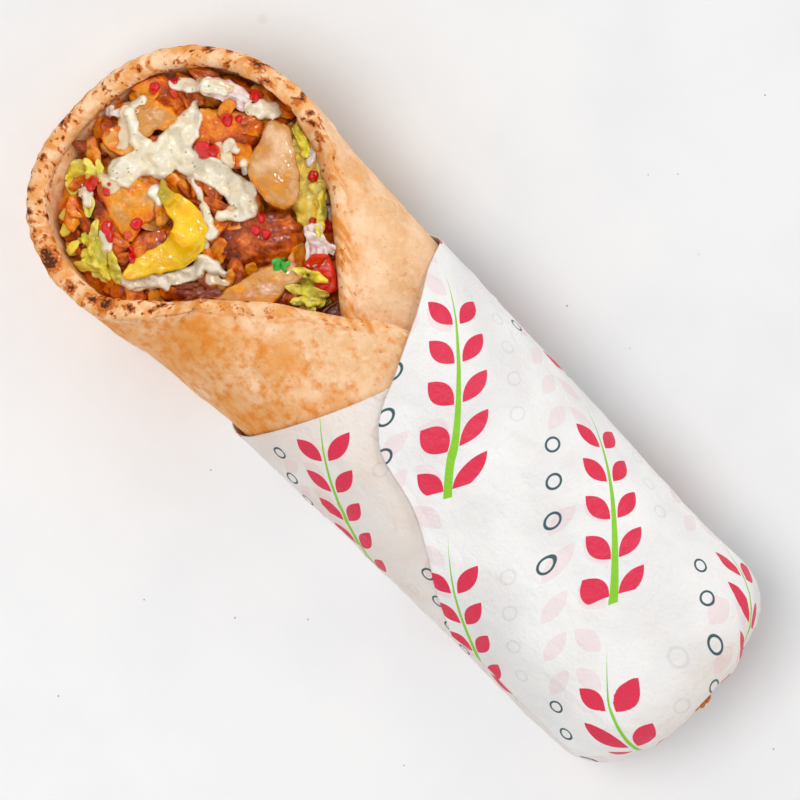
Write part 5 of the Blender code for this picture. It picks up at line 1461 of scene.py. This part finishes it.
def pour(heap, name, blobs, depth, material, seed, uneven=0.75):
    """Thick sauce that follows what lies under it, with a rounded edge."""
    cell = SAUCE_CELL
    b = np.array(blobs)
    low = (b[:, :2] - b[:, 2:3]).min(0) - 4 * cell
    high = (b[:, :2] + b[:, 2:3]).max(0) + 4 * cell
    x, y = np.meshgrid(np.arange(low[0], high[0], cell), np.arange(low[1], high[1], cell), indexing="ij")

    def away_at(px, py):
        flat = np.stack([px, py, 0 * px], -1)
        return blob_distance(px, py, blobs) + uneven * (rough(flat, 3.6, 2, seed) + 0.45 * noise(flat, 1.7, seed + 2))

    away = away_at(x, y)
    keep = away < 0.6 * cell
    cells = keep[:-1, :-1] & keep[1:, :-1] & keep[1:, 1:] & keep[:-1, 1:]
    used = np.zeros_like(keep)
    for a in (0, 1):
        for c in (0, 1):
            used[a:a + cells.shape[0], c:c + cells.shape[1]] |= cells
    small = 0.05
    slope_x = (away_at(x + small, y) - away) / small
    slope_y = (away_at(x, y + small) - away) / small
    size = np.maximum(slope_x ** 2 + slope_y ** 2, 0.05)
    snap = away > -0.5 * cell
    shift = np.where(snap, away / size, 0)
    px, py = x - np.clip(slope_x * shift, -cell, cell), y - np.clip(slope_y * shift, -cell, cell)
    inside = np.where(snap, 0, -away)
    ground = heap.at(px, py)
    near = ground.copy()
    for _ in range(14):
        padded = np.pad(near, 1, mode="edge")
        blur = (padded[:-2, 1:-1] + padded[2:, 1:-1] + padded[1:-1, :-2] + padded[1:-1, 2:]) / 4
        near = np.maximum(ground, blur)
    flat = np.stack([px, py, 0 * px], -1)
    swell = depth * (1 + 0.5 * rough(flat, 5.0, 2, seed + 5) + 0.3 * noise(flat, 2.4, seed + 8))
    round_in = 0.35 + depth * 0.9
    rise = np.sqrt(np.clip(1 - (1 - np.clip(inside / round_in, 0, 1)) ** 2, 0, 1))
    top = near + 0.12 + swell * rise
    number = -np.ones(keep.shape, int)
    number[used] = np.arange(used.sum())
    total = int(used.sum())
    i, j = np.nonzero(cells)
    ring = np.stack([number[i, j], number[i + 1, j], number[i + 1, j + 1], number[i, j + 1]], -1)
    highs = np.stack([px[used], py[used], top[used]], -1)
    lows = np.stack([px[used], py[used], ground[used] - 0.25], -1)
    edges = np.concatenate([ring[:, [k, (k + 1) % 4]] for k in range(4)])
    key = edges[:, 0].astype(np.int64) * total + edges[:, 1]
    other = edges[:, 1].astype(np.int64) * total + edges[:, 0]
    rim = edges[~np.isin(key, other)]
    skirt = np.stack([rim[:, 1], rim[:, 0], rim[:, 0] + total, rim[:, 1] + total], -1)
    points = heap.within(np.concatenate([highs, lows]))
    faces = facing_out(points, [ring, ring[:, ::-1] + total, skirt])
    thin = np.clip(1 - inside[used] / 0.9, 0, 1) * 0.6 + ease(0.9, 0.4, depth)
    thin = np.concatenate([thin, thin])
    if name is None:
        return points, faces, 0.3 * thin
    piece = add_mesh(name, points, faces, material, {"thin": thin})
    return piece, points, faces


def pepper_ring(heap, material):
    """A pickled banana-pepper ring: a broad wet strip that lies over the sauce and the meat."""
    knots = [(x, y, 0) for x, y in PEPPER_KNOTS]
    line, share = smooth_line(knots, 90)
    half = smooth_through(list(zip(np.linspace(0, 1, len(PEPPER_HALF_WIDTHS)), PEPPER_HALF_WIDTHS)), share)
    across = np.gradient(line, axis=0)[:, [1, 0, 2]] * [1, -1, 0]
    across /= np.linalg.norm(across, axis=1, keepdims=True)
    support = np.max([heap.at(line[:, 0] + across[:, 0] * half * k, line[:, 1] + across[:, 1] * half * k)
                      for k in (-0.6, -0.3, 0, 0.3, 0.6)], axis=0)
    for _ in range(30):
        spread = np.pad(support, 1, mode="edge")
        support = np.maximum(support * 0.4 + 0.6 * (spread[:-2] + spread[2:]) / 2, support - 0.02)
    line[:, 2] = support + 0.9 + 0.3 * np.sin(share * 9)
    points, faces = strip_shape(line, half, 3.0, 2.3, 44)
    faces = facing_out(points, faces)
    points = roughen(points, faces, 77, 0.8, 0.45, 0.06, facets=1.0)
    reach = np.repeat(share, 44)
    reach = np.concatenate([reach, [0, 1]])
    olive = ease(0.3, 0.06, reach) + 0.3 * rough(points, 3, 2, 79)
    piece = lay(heap, "look_banana_pepper", points, faces, material, {"tone": np.clip(olive, 0, 1)},
                "banana_pepper")
    return piece


CHILLI = [(111.6, 20.0, 2.1), (94.4, -11.7, 2.5), (91.8, -13.6, 1.8), (98.4, 26.2, 2.1), (96.2, 27.8, 1.7),
          (92.8, 19.1, 1.8), (95.9, -23.6, 1.7), (118.8, -14.9, 1.3), (106.7, 18.7, 1.1), (116.5, -21.1, 1.4),
          (86.6, 27.2, 1.4), (95.1, -34.5, 1.0), (65.5, -5.9, 1.5), (62.4, -7.2, 1.6), (88.5, 25.6, 1.0),
          (107.6, 16.4, 0.7), (93.4, -26.2, 1.1), (67.0, -9.6, 1.0)]


# ---- Stage ------------------------------------------------------------------------------------
VIEW_MIDDLE = (-3.2, 0.0)
VIEW_WIDTH = 0.248
VIEW_HEIGHT = 4.0


def stage():
    s = Shade("pale_plaster")
    base = s.mix(s.step(s.noise(60, 4), 0.3, 0.7), srgb(246, 246, 246), srgb(240, 241, 242))
    pits = s.math("MULTIPLY", s.step(s.cells(9), 0.045, 0.02), s.step(s.noise(17, 2), 0.48, 0.56))
    base = s.mix(s.math("MULTIPLY", pits, 0.75), base, srgb(120, 120, 122))
    dents = s.math("MULTIPLY", s.step(s.cells(26), 0.09, 0.03), s.step(s.noise(31, 3), 0.5, 0.6))
    base = s.mix(s.math("MULTIPLY", dents, 0.22), base, srgb(205, 206, 208))
    s.set(Base_Color=base, Roughness=s.math("ADD", s.math("MULTIPLY", s.noise(20, 3), 0.1), 0.75),
          Normal=s.bump(s.noise(14, 5), 0.15), Specular_IOR_Level=0.15)
    mesh = bpy.data.meshes.new("tabletop")
    half = 3.0
    mesh.from_pydata([(-half, -half, 0), (half, -half, 0), (half, half, 0), (-half, half, 0)], [], [(0, 1, 2, 3)])
    mesh.materials.append(s.material)
    floor = bpy.data.objects.new("tabletop", mesh)
    bpy.context.scene.collection.objects.link(floor)

    world = bpy.data.worlds.new("studio")
    bpy.context.scene.world = world
    world.use_nodes = True
    sky = world.node_tree
    direction = sky.nodes.new("ShaderNodeSeparateXYZ")
    sky.links.new(sky.nodes.new("ShaderNodeTexCoord").outputs["Generated"], direction.inputs[0])
    overhead = sky.nodes.new("ShaderNodeMapRange")
    overhead.interpolation_type = "SMOOTHSTEP"
    sky.links.new(direction.outputs["Z"], overhead.inputs["Value"])
    for key, number in (("From Min", 0.72), ("From Max", 0.95), ("To Min", SKY_RING), ("To Max", SKY_ZENITH)):
        overhead.inputs[key].default_value = number
    sky.links.new(overhead.outputs["Result"], sky.nodes["Background"].inputs["Strength"])
    sky.nodes["Background"].inputs["Color"].default_value = (1.0, 1.0, 1.0, 1.0)
    table, food = bpy.data.collections.new("table_lit"), bpy.data.collections.new("food_lit")
    table.objects.link(floor)
    for piece in bpy.context.scene.objects:
        if piece.type == "MESH" and piece != floor:
            food.objects.link(piece)
    for name, place, size, power, lit in LAMPS:
        lamp = bpy.data.lights.new(name, "AREA")
        lamp.shape = "DISK"
        lamp.size = size
        lamp.energy = power
        holder = bpy.data.objects.new(name, lamp)
        holder.location = place
        holder.rotation_euler = (Vector((0, 0, 0.02)) - Vector(place)).to_track_quat("-Z", "Y").to_euler()
        bpy.context.scene.collection.objects.link(holder)
        holder.light_linking.receiver_collection = table if lit == "table" else food

    camera = bpy.data.objects.new("camera", bpy.data.cameras.new("camera"))
    camera.data.sensor_width = 36.0
    camera.data.lens = 36.0 * (VIEW_HEIGHT - 0.03) / VIEW_WIDTH
    middle = (np.array([*VIEW_MIDDLE, 0.0]) - ORIGIN) * MM
    camera.location = (middle[0], middle[1], VIEW_HEIGHT)
    camera.rotation_euler = (0, 0, math.radians(-135))
    bpy.context.scene.collection.objects.link(camera)
    bpy.context.scene.camera = camera
    bpy.context.scene.view_settings.view_transform = "Standard"
    bpy.context.scene.view_settings.look = "None"


SKY_RING = 0.78
SKY_ZENITH = 0.3
# Lamps: name, place, disc size, power, what it lights. The table's shadow falls to the image's right.
LAMPS = [("key", (0.2, -1.1, 1.25), 0.28, 5.9, "food"), ("fill", (-1.0, 0.6, 1.1), 0.9, 2.8, "food"), ("glint", (0.35, -0.35, 1.6), 0.1, 6.0, "food"),
         ("glint_two", (0.3, 0.5, 1.6), 0.10, 1.6, "food"), ("table_key", (0.4, 0.5, 2.0), 1.2, 18.6, "table")]


# ---- The whole sandwich -----------------------------------------------------------------------
def mesh_arrays(piece):
    """A piece's points in millimetres and its quads."""
    mesh = piece.data
    co = np.zeros(len(mesh.vertices) * 3, np.float32)
    mesh.vertices.foreach_get("co", co)
    quads = [list(p.vertices) for p in mesh.polygons if len(p.vertices) == 4]
    return co.reshape(-1, 3) / MM + ORIGIN, np.array(quads)


def build():
    materials = {
        "meat": meat_material(),
        "rib": wet_material("dressed_lettuce", srgb(255, 222, 92), srgb(255, 200, 52), srgb(255, 232, 140), 5,
                            glow=0.4),
        "lettuce": wet_material("lettuce", srgb(252, 226, 62), srgb(255, 236, 120), srgb(214, 220, 64), 4, glow=0.4),
        "tomato": wet_material("tomato", srgb(222, 44, 6), srgb(190, 24, 2), srgb(236, 104, 24), 3),
        "red_pepper": wet_material("red_pepper", srgb(216, 60, 20), srgb(180, 34, 10), srgb(236, 110, 40), 3),
        "onion": wet_material("onion", srgb(244, 232, 222), srgb(226, 196, 190), srgb(188, 120, 126), 3),
        "carrot": wet_material("carrot", srgb(226, 118, 16), srgb(198, 88, 8), srgb(164, 66, 4), 3),
        "pepper": wet_material("banana_pepper", srgb(252, 206, 14), srgb(250, 184, 0), srgb(186, 158, 20), 5,
                               0.06, 0.35, 0.6, 0.3),
        "chilli": wet_material("chilli_sauce", srgb(226, 6, 20), srgb(190, 0, 10), srgb(230, 60, 10), 2, 0.06,
                               0.15, 1.0, 0.1),
        "herb": wet_material("herb", srgb(48, 172, 44), srgb(30, 128, 34), srgb(96, 196, 70), 1.2, 0.3, 0.2),
        "sauce": sauce_material(),
    }
    bread = rolled_sheet("look_flatbread", BREAD_EDGE, 380, 118, 78.0, bread_rise, BREAD_THICKNESS, BREAD_FLOOR,
                         bread_relief, 9, bread_material(), bread_values, lean_in)
    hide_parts("flatbread")
    paper = rolled_sheet("look_paper_wrap", PAPER_EDGE, 360, 100, 60.0, paper_rise, 0.35, 0.0,
                         paper_relief, 0, paper_material(), paper_values)
    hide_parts("paper_wrap")
    end_notch(mesh_arrays(paper), bread.active_material)

    heap = Heap()
    mouth = packed_filling(mesh_arrays(bread), materials, heap)
    heap.measure()
    heap.keep_floor()
    lay_leaves(heap, materials)
    lay_strips(heap, materials)
    lay_meat(heap, materials["meat"])
    heap.measure()
    fill_gaps(heap, *mouth, materials)
    heap.measure()
    single_bits(heap, materials)
    heap.measure()
    lettuce_shreds(heap, materials["lettuce"])
    heap.measure()

    rng = np.random.default_rng(5)
    sides = rng.uniform(-1, 1, (260, 2))
    places = np.stack([84 + 38 * sides[:, 0], 2 + 36 * sides[:, 1]], -1)
    places = places[np.hypot(sides[:, 0], sides[:, 1]) < 1]
    places = places[heap.at(*places.T) - heap.floor_at(*places.T) < 3.2]
    points, faces = scatter("look_meat_crumbs", heap, places, rng.uniform(0.4, 1.0, len(places)), 0.7,
                            materials["meat"], 6, (0.75, 0.25), 0.3)
    heap.add(points, faces)
    for seed, blobs in enumerate(SMEARS):
        pour(heap, f"look_smear_{seed + 1}", blobs, 0.3, materials["sauce"], 180 + seed, uneven=1.0)
    for seed, (name, (blobs, depth)) in enumerate(SAUCES.items()):
        piece, points, faces = pour(heap, "look_" + name, blobs, depth, materials["sauce"], 120 + seed)
        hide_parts(name)
        heap.add(points, faces)
    for seed, blobs in enumerate(SPLASHES):
        piece, points, faces = pour(heap, f"look_splash_{seed + 1}", blobs, 1.2, materials["sauce"], 140 + seed)
        heap.add(points, faces)
    heap.measure()
    pepper_ring(heap, materials["pepper"])
    heap.measure()
    drops = [pour(heap, None, [(x, y, radius, 0), (x - 0.5 * radius, y + 0.4 * radius, 0.7 * radius, 0)], 1.1, None,
                  160 + k, uneven=0.6) for k, (x, y, radius) in enumerate(CHILLI)]
    points, faces, tones = joined(drops)
    add_mesh("look_chilli_drops", points, faces, materials["chilli"], {"tone": tones})
    herbs = [(53.4, -3.0), (52.8, -5.2), (50.8, -4.8), (52.6, -2.2), (51.8, -3.7), (50.8, -3.2)]
    scatter("look_herb_leaflets", heap, herbs, [1.5, 1.4, 1.3, 1.2, 1.5, 1.1], 0.35, materials["herb"], 9,
            (0.2, 0.3), 0.3, 9, 16)


build()
stage()
